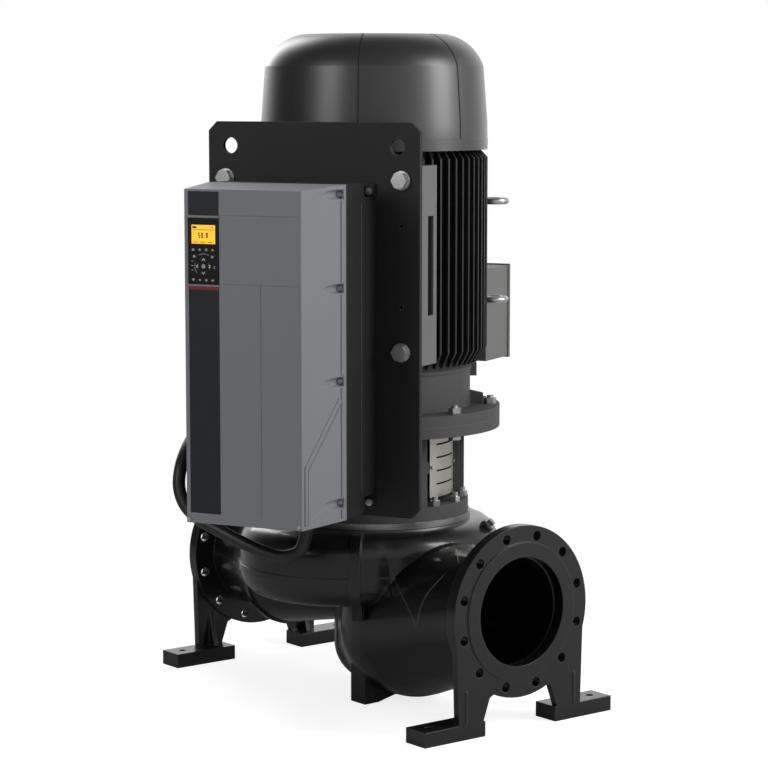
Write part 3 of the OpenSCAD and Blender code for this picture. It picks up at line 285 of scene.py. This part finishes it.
def smoothing_group(degrees):
    """A node group that joins split corners and smooths all edges but the sharp ones."""
    group = bpy.data.node_groups.new("smooth_edges", "GeometryNodeTree")
    group.interface.new_socket("Geometry", in_out="INPUT", socket_type="NodeSocketGeometry")
    group.interface.new_socket("Geometry", in_out="OUTPUT", socket_type="NodeSocketGeometry")
    n = Nodes(group)
    start = n.new("NodeGroupInput")
    end = n.new("NodeGroupOutput")
    merge = n.new("GeometryNodeMergeByDistance")
    merge.inputs["Distance"].default_value = 0.00002
    drop = n.new("GeometryNodeRemoveAttribute")
    drop.inputs["Name"].default_value = "custom_normal"
    faces = n.new("GeometryNodeSetShadeSmooth", domain="FACE")
    edges = n.new("GeometryNodeSetShadeSmooth", domain="EDGE")
    edges.inputs["Shade Smooth"].default_value = False
    angle = n.new("GeometryNodeInputMeshEdgeAngle")
    sharp = n.new("FunctionNodeCompare", data_type="FLOAT", operation="GREATER_THAN")
    sharp.inputs["B"].default_value = math.radians(degrees)
    n.link(angle.outputs["Unsigned Angle"], sharp.inputs["A"])
    n.link(sharp.outputs["Result"], edges.inputs["Selection"])
    chain = (start, merge, drop, faces, edges, end)
    for a, b in zip(chain, chain[1:]):
        n.link(a.outputs[0], b.inputs[0])
    return group


def smooth(obj, group):
    """Rounds the shading of curved faces and keeps flat ones flat."""
    obj.modifiers.new("smooth_edges", "NODES").node_group = group
    flat = obj.modifiers.new("flat_faces", "WEIGHTED_NORMAL")
    flat.keep_sharp = True


smooth_edges = smoothing_group(27)
for name, obj in nodes.items():
    wear(obj, looks[slot_of[name]])
    smooth(obj, smooth_edges)


# ------------------------------------------------------------ added pieces

def piece(name, bm, slot, body, bevel=0.0):
    """An object from a bmesh, in the row frame, that rides on a body."""
    bmesh.ops.recalc_face_normals(bm, faces=bm.faces)
    obj = add_mesh(name, bm)
    wear(obj, looks[slot])
    if bevel:
        modifier = obj.modifiers.new("bevel", "BEVEL")
        modifier.width = bevel
        modifier.segments = 2
    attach(obj, body)
    return obj


def block(bm, x0, x1, y0, y1, z0, z1):
    """Adds a box between corners given in the frame of the motor, in millimetres."""
    corners = [bm.verts.new(motor_point(x, y, z)) for x in (x0, x1) for y in (y0, y1) for z in (z0, z1)]
    for quad in ((0, 1, 3, 2), (4, 6, 7, 5), (0, 4, 5, 1), (2, 3, 7, 6), (0, 2, 6, 4), (1, 5, 7, 3)):
        bm.faces.new([corners[i] for i in quad])


def loft(bm, rings):
    """Adds a closed solid through rings of vertices."""
    for a, b in zip(rings, rings[1:]):
        for i in range(len(a)):
            j = (i + 1) % len(a)
            bm.faces.new([a[i], a[j], b[j], b[i]])
    bm.faces.new(rings[0][::-1])
    bm.faces.new(rings[-1])


def prism(bm, points, y0, y1):
    """Adds a plate with an outline of (x, z) points between two depths, in the frame of the motor."""
    front = [bm.verts.new(motor_point(x, y0, z)) for x, z in points]
    back = [bm.verts.new(motor_point(x, y1, z)) for x, z in points]
    loft(bm, [back, front])


# depths, in the frame of the motor, of the cover's front, the display, the keypad and the keys
FACE_Y = -666.4
DISPLAY_Y = FACE_Y - 1.5
PRINT_Y = FACE_Y - 2
KEY_Y = FACE_Y - 3.2
# how far a print stands out of its face and goes into it
PRINT_OUT, PRINT_IN = 0.08, 0.2

# red accent line under the keypad, and the pale bars over and under the keypad
stripe = bmesh.new()
block(stripe, -132.4, -57.6, FACE_Y - 0.4, FACE_Y + 1.2, 1014.5, 1021)
piece("accent_line", stripe, "stripe_red", "pump", bevel=0.0003)
bars = bmesh.new()
for low, high in ((1021.8, 1026.1), (1171, 1176.4)):
    block(bars, -134.6, -55.4, FACE_Y - 2.6, FACE_Y + 1.5, low, high)
piece("column_bars", bars, "drive_grey", "pump", bevel=0.0008)

# the segments of each digit: a on top, then clockwise to f, and g across the middle
SEGMENTS = {"0": "abcdef", "1": "bc", "5": "afgcd"}


def ink_box(bm, x0, x1, z0, z1):
    """Adds a thin printed box on the display."""
    block(bm, x0, x1, DISPLAY_Y - PRINT_OUT, DISPLAY_Y + PRINT_IN, z0, z1)


def digits(bm, text, x, z, height):
    """Adds slim segment digits from x on, standing on z."""
    wide = height * 0.44
    thick = height * 0.17
    half = height / 2
    spots = {"a": (0, wide, height - thick, height), "g": (0, wide, half - thick / 2, half + thick / 2),
             "d": (0, wide, 0, thick), "b": (wide - thick, wide, half, height), "c": (wide - thick, wide, 0, half),
             "f": (0, thick, half, height), "e": (0, thick, 0, half)}
    for sign in text:
        if sign == ".":
            ink_box(bm, x, x + thick, z, z + thick)
            x += thick * 2.4
            continue
        for segment in SEGMENTS[sign]:
            left, right, low, high = spots[segment]
            ink_box(bm, x + left, x + right, z + low, z + high)
        x += wide + height * 0.22


ink = bmesh.new()
digits(ink, "50.0", -107, 1128, 11)
digits(ink, "1.5", -78, 1148.4, 4.4)
ink_box(ink, -121.5, -111.5, 1148.4, 1152.8)
ink_box(ink, -122, -67, 1145, 1146)
for x in (-120, -102, -84):
    ink_box(ink, x, x + 12, 1117.6, 1119)
piece("display_digits", ink, "display_ink", "pump")


def bar(bm, x0, z0, x1, z1, wide, y):
    """Adds a straight printed stroke between two (x, z) points."""
    dx, dz = x1 - x0, z1 - z0
    k = wide / 2 / math.hypot(dx, dz)
    prism(bm, [(x0 + dz * k, z0 - dx * k), (x1 + dz * k, z1 - dx * k), (x1 - dz * k, z1 + dx * k),
               (x0 - dz * k, z0 + dx * k)], y - PRINT_OUT, y + PRINT_IN)


def arc(bm, x, z, r, start, end, wide, y, steps=16):
    """Adds a curved printed stroke round a centre, with angles in degrees."""
    turns = [math.radians(start + (end - start) * i / steps) for i in range(steps + 1)]
    for a, b in zip(turns, turns[1:]):
        bar(bm, x + r * math.cos(a), z + r * math.sin(a), x + r * math.cos(b), z + r * math.sin(b), wide, y)


def mark(name, x, z, strokes):
    """White signs printed on the key at (x, z), which move with it.

    Around the key's centre, a stroke of five numbers is straight and has its width last, and one of two
    numbers is a ring of a radius and a width.
    """
    bm = bmesh.new()
    for stroke in strokes:
        if len(stroke) == 2:
            arc(bm, x, z, stroke[0], 0, 360, stroke[1], KEY_Y)
        else:
            x0, z0, x1, z1, wide = stroke
            bar(bm, x + x0, z + z0, x + x1, z + z1, wide, KEY_Y)
    piece("mark_" + name, bm, "key_mark", "key_" + name)


def chevron(dx, dz, tip=2.4, foot=1.8, half=3):
    """The strokes of a chevron that points along (dx, dz)."""
    return [(dx * tip, dz * tip, -dx * foot - dz * k, -dz * foot + dx * k, 1.7) for k in (half, -half)]


# the keys: a round pad, a row of four over it and one under it, and three more round the pad
PAD_X, PAD_Z = -94, 1066
COLUMNS = (-119, -103, -87, -71)
SOFT_Z, BACK_Z, ROW_Z = 1102, 1087, 1036
mark("up", PAD_X, PAD_Z + 14.5, chevron(0, 1))
mark("down", PAD_X, PAD_Z - 14.5, chevron(0, -1))
mark("left", PAD_X - 15, PAD_Z, chevron(-1, 0))
mark("right", PAD_X + 15, PAD_Z, chevron(1, 0))
mark("ok", PAD_X, PAD_Z, [(3.4, 1.5), (-1.2, 0, 1.2, 0, 2.4)])
mark("1", COLUMNS[0], SOFT_Z, [(0, 2, -2.6, -1.6, 1.4), (0, 2, 2.6, -1.6, 1.4), (-2.6, -1.6, 2.6, -1.6, 1.4)])
mark("2", COLUMNS[1], SOFT_Z, [(1.6, 1.6)])
mark("3", COLUMNS[2], SOFT_Z, [(-2.2, k, 2.2, k, 1.2) for k in (-1.8, 0, 1.8)])
mark("4", COLUMNS[3], SOFT_Z, [(0, 2, 0, -2, 1.8), (-2.4, -1.4, 2.4, -1.4, 1.8)])
mark("back", -116, BACK_Z, [(-2.6, 1.6, 2.4, -1.8, 1.6), (-2.6, 1.8, -2.6, -1.6, 1.5), (-2.6, 1.8, 1.2, 1.8, 1.5)])
mark("cancel", -72, BACK_Z, [(-2.2, -2.2, 2.2, 2.2, 1.5), (-2.2, 2.2, 2.2, -2.2, 1.5)])
mark("info", -67, PAD_Z - 2, [(0, -2.4, 0, 0.4, 1.8), (0, 2, 0, 3.4, 1.8)])
mark("hand", COLUMNS[0], ROW_Z, [(-2.6, 1.6, 2.6, 1.6, 1.5), (-2, 1.4, 0, -2, 1.5), (2, 1.4, 0, -2, 1.5)])
mark("off", COLUMNS[1], ROW_Z, [(-1.8, -1.6, 1.8, 1.6, 1.3), (-1.8, 1.6, 1.8, -1.6, 1.3)])
mark("auto", COLUMNS[2], ROW_Z, [(2, 1.4)])
mark("reset", COLUMNS[3], ROW_Z, [(-3, k, 3, k, 1.2) for k in (-0.9, 0.9)])

# lines printed on the keypad: arcs round the pad, and a dash beside each light
lines = bmesh.new()
arc(lines, PAD_X, PAD_Z, 27, 62, 118, 0.7, PRINT_Y)
arc(lines, PAD_X, PAD_Z, 22, 163, 222, 0.7, PRINT_Y)
for z in (1057, 1067, 1077):
    bar(lines, -124, z, -119.5, z, 1.1, PRINT_Y)
piece("keypad_lines", lines, "key_mark", "pump")


# the sloped sides of the drive cover: half the width at their front and back edges, and the depth of the back one
FRONT_X, REAR_X, REAR_Y = 142.3, 170.5, -508


def side_point(side, back, z, out):
    """A point on a sloped side: how far behind the front edge, how high, and how far out of the face."""
    dx, dy = REAR_X - FRONT_X, REAR_Y - FACE_Y
    k = math.hypot(dx, dy)
    return motor_point(side * (FRONT_X + (dx * back + dy * out) / k), FACE_Y + (dy * back - dx * out) / k, z)


def strip(bm, side, path, out):
    """Adds a low rib on a sloped side along (back, z) points, each with its half width; its foot is sunk."""
    rings = []
    for i, (back, z, half) in enumerate(path):
        a, b = path[max(i - 1, 0)], path[min(i + 1, len(path) - 1)]
        dx, dz = b[0] - a[0], b[1] - a[1]
        k = math.hypot(dx, dz)
        across = (dz / k, -dx / k)
        rings.append([bm.verts.new(side_point(side, back + across[0] * half * w, z + across[1] * half * w, h))
                      for w, h in ((-1, -0.4), (-1, 0), (-0.62, out), (0.62, out), (1, 0), (1, -0.4))])
    loft(bm, rings)


# a raised bead runs up behind the front edge and slants back to the rim line, with a thin darker strip on both sides
# as painted shadow
BEAD_BACK, RIM_BACK = 16, 152.5
CORNER = (142, 771.5)
# the rim line stands between the scoops of the cover's screws, and runs on, slimmer, behind them
RIM_SPANS = ((506, 528), (554, 798), (824, 1003), (1029, 1208))
SCOOP_Z = (541, 811, 1016, 1221)
bead = bmesh.new()
groove_shade_lines = bmesh.new()
for side in (-1, 1):
    strip(bead, side, [(BEAD_BACK, 507, 5), (BEAD_BACK, 560, 5), (BEAD_BACK, 629, 5), (18.5, 636, 5.6),
                       (*CORNER, 6.4)], 1.3)
    for off in (-6.3, 7.8):
        strip(groove_shade_lines, side, [(BEAD_BACK + off, 507, 1.1), (BEAD_BACK + off, 631.5 - 0.4 * off, 1.1),
                              (CORNER[0] + 0.81 * off, CORNER[1] - 0.74 * off, 1.1)], 0.2)
    for low, high in RIM_SPANS:
        strip(bead, side, [(RIM_BACK, low, 7), (RIM_BACK, high, 7)], 1)
        # a painted shadow line beside each span of the rim line
        strip(groove_shade_lines, side, [(RIM_BACK - 8.5, low, 1.5), (RIM_BACK - 8.5, high, 1.5)], 0.2)
    for z in SCOOP_Z:
        strip(bead, side, [(RIM_BACK + 4, z - 13, 3), (RIM_BACK + 4, z + 13, 3)], 1)
piece("cover_beads", bead, "drive_grey", "pump", bevel=0.0004)
piece("cover_groove_shade_lines", groove_shade_lines, "groove_painted_shade", "pump")

# the seam between the two halves of the chassis, drawn as a lighter strip that is painted highlight along its edge
joint = bmesh.new()
block(joint, 163.5, 165.3, -415.8, -414.2, 548, 1196)
piece("chassis_seam", joint, "seam_painted_highlight", "pump")


# fine ridges of the casting: round the facet under the parting bead, and over the suction bend; their lighter colour
# is painted highlight
RIDGE_HALF, RIDGE_OUT = 1.7, 1.4
housing = nodes["pump_housing"].data
surface = BVHTree.FromPolygons([v.co for v in housing.vertices], [p.vertices[:] for p in housing.polygons])


def ridge(bm, path, steps=5):
    """Adds a low rib on the housing along (x, y, z) points of the row frame, in millimetres."""
    line = [Vector(a).lerp(Vector(b), i / steps) * MM for a, b in zip(path, path[1:]) for i in range(steps)]
    spots = [surface.find_nearest(point)[:2] for point in line + [Vector(path[-1]) * MM]]
    rings = []
    for i, (spot, normal) in enumerate(spots):
        along = spots[min(i + 1, len(spots) - 1)][0] - spots[max(i - 1, 0)][0]
        across = along.cross(normal).normalized()
        # slimmer towards both ends
        slim = min(1, 0.3 + 0.25 * min(i, len(spots) - 1 - i))
        rings.append([bm.verts.new(spot + (across * RIDGE_HALF * w * slim + normal * h) * MM)
                      for w, h in ((-1, -1.5), (-1, 0), (-0.5, RIDGE_OUT), (0.5, RIDGE_OUT), (1, 0), (1, -1.5))])
    loft(bm, rings)


RIDGES = (
    # the facet's edge on the side of the volute, down to its lowest corner
    [(253, -149, 318), (276, -157, 305), (297, -162, 290), (315, -165.5, 276), (331, -167, 260.5),
     (344, -167.5, 245), (355.7, -165.6, 228.5)],
    # its edge on the side of the port, down to the same corner
    [(395.4, -116.7, 353.6), (390, -127.1, 341.4), (382.8, -136, 328.7), (374.4, -144, 315.7),
     (368, -151.2, 300.7), (363.5, -157.1, 285.2), (360, -161.9, 269.4), (358, -164.5, 249),
     (355.7, -165.6, 228.5)],
    # over the suction bend
    [(325, -31, 395), (351.5, -48.1, 393.7), (371, -62, 390), (386.8, -73.8, 385.6), (401, -84, 380.6),
     (413, -92, 375.5)],
)
ridges = bmesh.new()
for path in RIDGES:
    ridge(ridges, path)
piece("casting_ridges", ridges, "ridge_painted_highlight", "pump")


# ------------------------------------------------ pieces that stand for a node

def revolve(bm, outline, steps=144):
    """Adds a solid of revolution about the shaft axis from a closed (r, z) outline, in millimetres."""
    turns = [2 * math.pi * i / steps for i in range(steps)]
    rings = [[bm.verts.new(Vector((AXIS_X + r * math.cos(t), r * math.sin(t), z)) * MM) for r, z in outline]
             for t in turns]
    for a, b in zip(rings, rings[1:] + rings[:1]):
        for i in range(len(outline)):
            j = (i + 1) % len(outline)
            bm.faces.new([a[i], b[i], b[j], a[j]])


# fan cover, as (r, z) over its lower rim: rim band, tapered wall, a crease, and a flatter shoulder up to the slots
HOOD_Z = 1306.1
BAND_Z = 27
HOOD_TOP = 270
SHEET = 3
SHOULDER_R, SHOULDER_Z, SHOULDER_ARC = 153.9, 160.7, 111
HOOD_R = [(270.5, 0), (270.5, 26.2), (269.7, BAND_Z), (269.3, 66), (259.5, 195)]
TOP_EDGE = (174, HOOD_TOP)


def shoulder(radius, angles):
    """Points on an arc round the centre of the shoulder, with angles in degrees."""
    return [(SHOULDER_R + radius * math.cos(math.radians(a)), SHOULDER_Z + radius * math.sin(math.radians(a)))
            for a in angles]


def flat_ring(bm, r0, r1):
    """Adds a flat ring of sheet in the top of the fan cover."""
    low, top = HOOD_Z + HOOD_TOP - SHEET, HOOD_Z + HOOD_TOP
    revolve(bm, [(r0, low), (r1, low), (r1, top), (r0, top)], 96)


SHOULDER = shoulder(SHOULDER_ARC, range(18, 79, 4))
outside = HOOD_R + SHOULDER[1:] + [TOP_EDGE, (161, HOOD_TOP), (161, HOOD_TOP - SHEET)]
# the step over the rim band doesn't show inside
inside = [(r - SHEET, z) for r, z in HOOD_R if z != BAND_Z] + shoulder(SHOULDER_ARC - SHEET, range(22, 79, 8))
hood = bmesh.new()
revolve(hood, [(r, HOOD_Z + z) for r, z in outside + inside[::-1]])
for r in range(49, 160, 16):
    flat_ring(hood, r, r + 7)
flat_ring(hood, 0.5, 40)
# six spokes hold the rings; their corners stand at a radius and half a width
SPOKE = ((38, -5), (163, -5), (163, 5), (38, 5))
SPOKE_LOW, SPOKE_HIGH = HOOD_Z + 267.4, HOOD_Z + 269.8
for angle in range(30, 360, 60):
    c, s = math.cos(math.radians(angle)), math.sin(math.radians(angle))
    loft(hood, [[hood.verts.new(motor_point(r * c - w * s, r * s + w * c, z)) for r, w in SPOKE]
                for z in (SPOKE_LOW, SPOKE_HIGH)])
skin = piece("fan_cover_skin", hood, "black_hood", "pump")
smooth(skin, smoothing_group(9))
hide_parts("fan_cover")

# two dark seams that run from the rim band over the shoulder
seams = bmesh.new()
for angle, half in ((-17.0, 2.0), (-72.7, 1.3)):
    t = math.radians(angle)
    loft(seams, [[seams.verts.new(motor_point((r + h) * math.cos(t) - w * math.sin(t),
                                              (r + h) * math.sin(t) + w * math.cos(t), HOOD_Z + z + min(h, 0.0)))
                  for w, h in ((-half, -0.5), (-half, 0.25), (half, 0.25), (half, -0.5))]
                 for r, z in [(269.6, BAND_Z + 1)] + HOOD_R[3:] + SHOULDER[1:] + [TOP_EDGE]])
piece("fan_cover_seams", seams, "seam", "pump")

# motor cable: a round tube along the route, in the frame of the motor
CABLE_R = 15.0
ROUTE = [(32, -430, 476), (30, -430, 440), (15, -430, 405), (-25, -430, 390), (-70, -430, 395), (-140, -430, 417),
         (-190, -430, 437), (-240, -430, 458), (-280, -430, 488), (-300, -425, 530), (-304, -410, 575),
         (-310, -370, 612), (-322, -310, 638), (-330, -240, 658), (-333, -160, 676), (-330, -80, 688), (-322, 0, 692),
         (-308, 80, 690), (-285, 160, 685), (-250, 230, 680), (-205, 290, 680), (-155, 330, 688), (-118, 346, 708),
         (-102, 350, 730), (-100, 350, 750.6)]


def tube(bm, points, r, sides=20, steps=4):
    """Adds a round tube with flat ends on a smooth curve through the points."""
    curve = []
    for i in range(len(points) - 1):
        # each stretch is a cubic from b to c that leans on the points before and after them
        a, b, c, d = (points[max(0, min(len(points) - 1, i + k))] for k in (-1, 0, 1, 2))
        for k in range(steps):
            t = k / steps
            curve.append(0.5 * (2 * b + (c - a) * t + (2 * a - 5 * b + 4 * c - d) * t * t
                                + (3 * b - a - 3 * c + d) * t * t * t))
    curve.append(points[-1])
    side = Vector((0, 1, 0))
    rings = []
    for i, p in enumerate(curve):
        along = (curve[min(i + 1, len(curve) - 1)] - curve[max(i - 1, 0)]).normalized()
        if i in (0, len(curve) - 1):
            # both ends stand upright in their glands
            along = Vector((0, 0, along.z)).normalized()
        side = (side - along * side.dot(along)).normalized()
        other = along.cross(side)
        rings.append([bm.verts.new(p + (side * math.cos(2 * math.pi * k / sides)
                                        + other * math.sin(2 * math.pi * k / sides)) * r) for k in range(sides)])
    loft(bm, rings)


cable = bmesh.new()
tube(cable, [motor_point(*point) for point in ROUTE], CABLE_R * MM)
cable = piece("motor_cable_tube", cable, "cable_black", "pump")
smooth(cable, smooth_edges)
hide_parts("motor_cable")


# ------------------------------------------------------- floor, light, camera

def world_light(low, high):
    """A studio: bright to the right of the photograph's camera and dark to its left, under a dark ceiling."""
    world = bpy.data.worlds.new("studio")
    bpy.context.scene.world = world
    world.use_nodes = True
    n = Nodes(world.node_tree)
    background = world.node_tree.nodes["Background"]
    path = n.new("ShaderNodeLightPath")
    coord = n.new("ShaderNodeTexCoord")
    ray = coord.outputs["Generated"]
    height = n.new("ShaderNodeSeparateXYZ")
    n.link(ray, height.inputs["Vector"])

    # brightest a little beyond the right side, and slightly more so from above
    side = n.dot(ray, (*around(VIEW_SIDE + 95)[:2], 0.15))
    room = n.math("MULTIPLY", n.ramp(side, -0.85, 0.25, low, high, "SMOOTHSTEP"),
                  n.ramp(height.outputs["Z"], 0.3, 0.85, 1.0, 0.2, "SMOOTHSTEP"))
    # reflections show the white sheet that stands behind the object
    sheet = n.ramp(n.dot(ray, around(VIEW_SIDE + 180)), 0.45, 0.85, kind="SMOOTHSTEP")
    room = n.math("MAXIMUM", room, n.math("MULTIPLY", sheet, path.outputs["Is Glossy Ray"]))
    # the camera sees plain white
    seen = n.math("MAXIMUM", path.outputs["Is Camera Ray"], path.outputs["Is Transmission Ray"])
    background.inputs["Color"].default_value = (1, 1, 1, 1)
    n.link(n.mix("FLOAT", room, 1.0, seen), background.inputs["Strength"])


FLOOR_R, FLOOR_Z = 6.0, -0.0005
FADE_START, FADE_END = 0.6, 1.4


def floor_disc():
    """A pale floor that keeps the shadow near the object and fades out to the white around it."""
    bm = bmesh.new()
    bmesh.ops.create_circle(bm, cap_ends=True, segments=96, radius=FLOOR_R,
                            matrix=Matrix.Translation((0, 0, FLOOR_Z)))
    obj = add_mesh("floor", bm)
    mat = bpy.data.materials.new("floor_paper")
    mat.use_nodes = True
    n = Nodes(mat.node_tree)
    bsdf = mat.node_tree.nodes["Principled BSDF"]
    bsdf.inputs["Base Color"].default_value = (0.55, 0.55, 0.55, 1)
    bsdf.inputs["Roughness"].default_value = 0.9
    bsdf.inputs["Specular IOR Level"].default_value = 0.1
    glow = n.new("ShaderNodeEmission")
    glow.inputs["Strength"].default_value = 0.78
    paper = n.new("ShaderNodeAddShader")
    n.link(bsdf.outputs["BSDF"], paper.inputs[0])
    n.link(glow.outputs["Emission"], paper.inputs[1])
    white = n.new("ShaderNodeEmission")
    white.inputs["Strength"].default_value = 1.0

    # the camera sees the paper glow and turn white; other rays meet plain paper
    coord = n.new("ShaderNodeTexCoord")
    length = n.new("ShaderNodeVectorMath", operation="LENGTH")
    n.link(coord.outputs["Object"], length.inputs[0])
    far = n.ramp(length.outputs["Value"], FADE_START, FADE_END, kind="SMOOTHSTEP")
    seen = n.blend(paper.outputs["Shader"], white.outputs["Emission"], far)
    path = n.new("ShaderNodeLightPath")
    surface = n.blend(bsdf.outputs["BSDF"], seen, path.outputs["Is Camera Ray"])
    n.link(surface, mat.node_tree.nodes["Material Output"].inputs["Surface"])
    wear(obj, mat)


def look_at(obj, target, away, distance):
    """Stands a lamp or a camera off from a target and turns it to look there."""
    obj.location = target + away * distance
    obj.rotation_euler = (-away).to_track_quat("-Z", "Y").to_euler()


LIT_POINT = Vector((0, 0, 0.85))


def lamp(name, azimuth, elevation, distance, size, watts, mirrored=True):
    """A soft lamp that stands at an angle round the object and looks at it."""
    light = bpy.data.lights.new(name, "AREA")
    light.shape = "RECTANGLE"
    light.size, light.size_y = size
    light.energy = watts
    obj = add_object(name, light)
    obj.visible_glossy = mirrored
    look_at(obj, LIT_POINT, around(azimuth, elevation), distance)


world_light(0.06, 0.62)
floor_disc()
lamp("key_right", 124, 26, 4.5, (1.6, 2.6), 126)
lamp("fill_front", 5, 24, 5.0, (1.6, 2.4), 66)
lamp("top", 60, 78, 4.0, (2.0, 2.0), 40, mirrored=False)
lamp("rim_left", -100, 30, 4.5, (1.2, 3.0), 40)

# the camera, solved from the photograph
YAW, PITCH = 51.73, 6.79
TARGET = Vector((8.73, 11.07, 742.4)) * MM
DISTANCE = 6.0657
FOCAL_PIXELS, PHOTO_PIXELS = 2519.4, 768
SENSOR = 36
camera = bpy.data.cameras.new("camera")
camera.sensor_width = SENSOR
camera.lens = SENSOR * FOCAL_PIXELS / PHOTO_PIXELS
camera.clip_end = 60
view = add_object("camera", camera)
look_at(view, TARGET, around(YAW, PITCH), DISTANCE)
bpy.context.scene.camera = view
bpy.context.scene.view_settings.view_transform = "Standard"

bpy.context.view_layer.update()
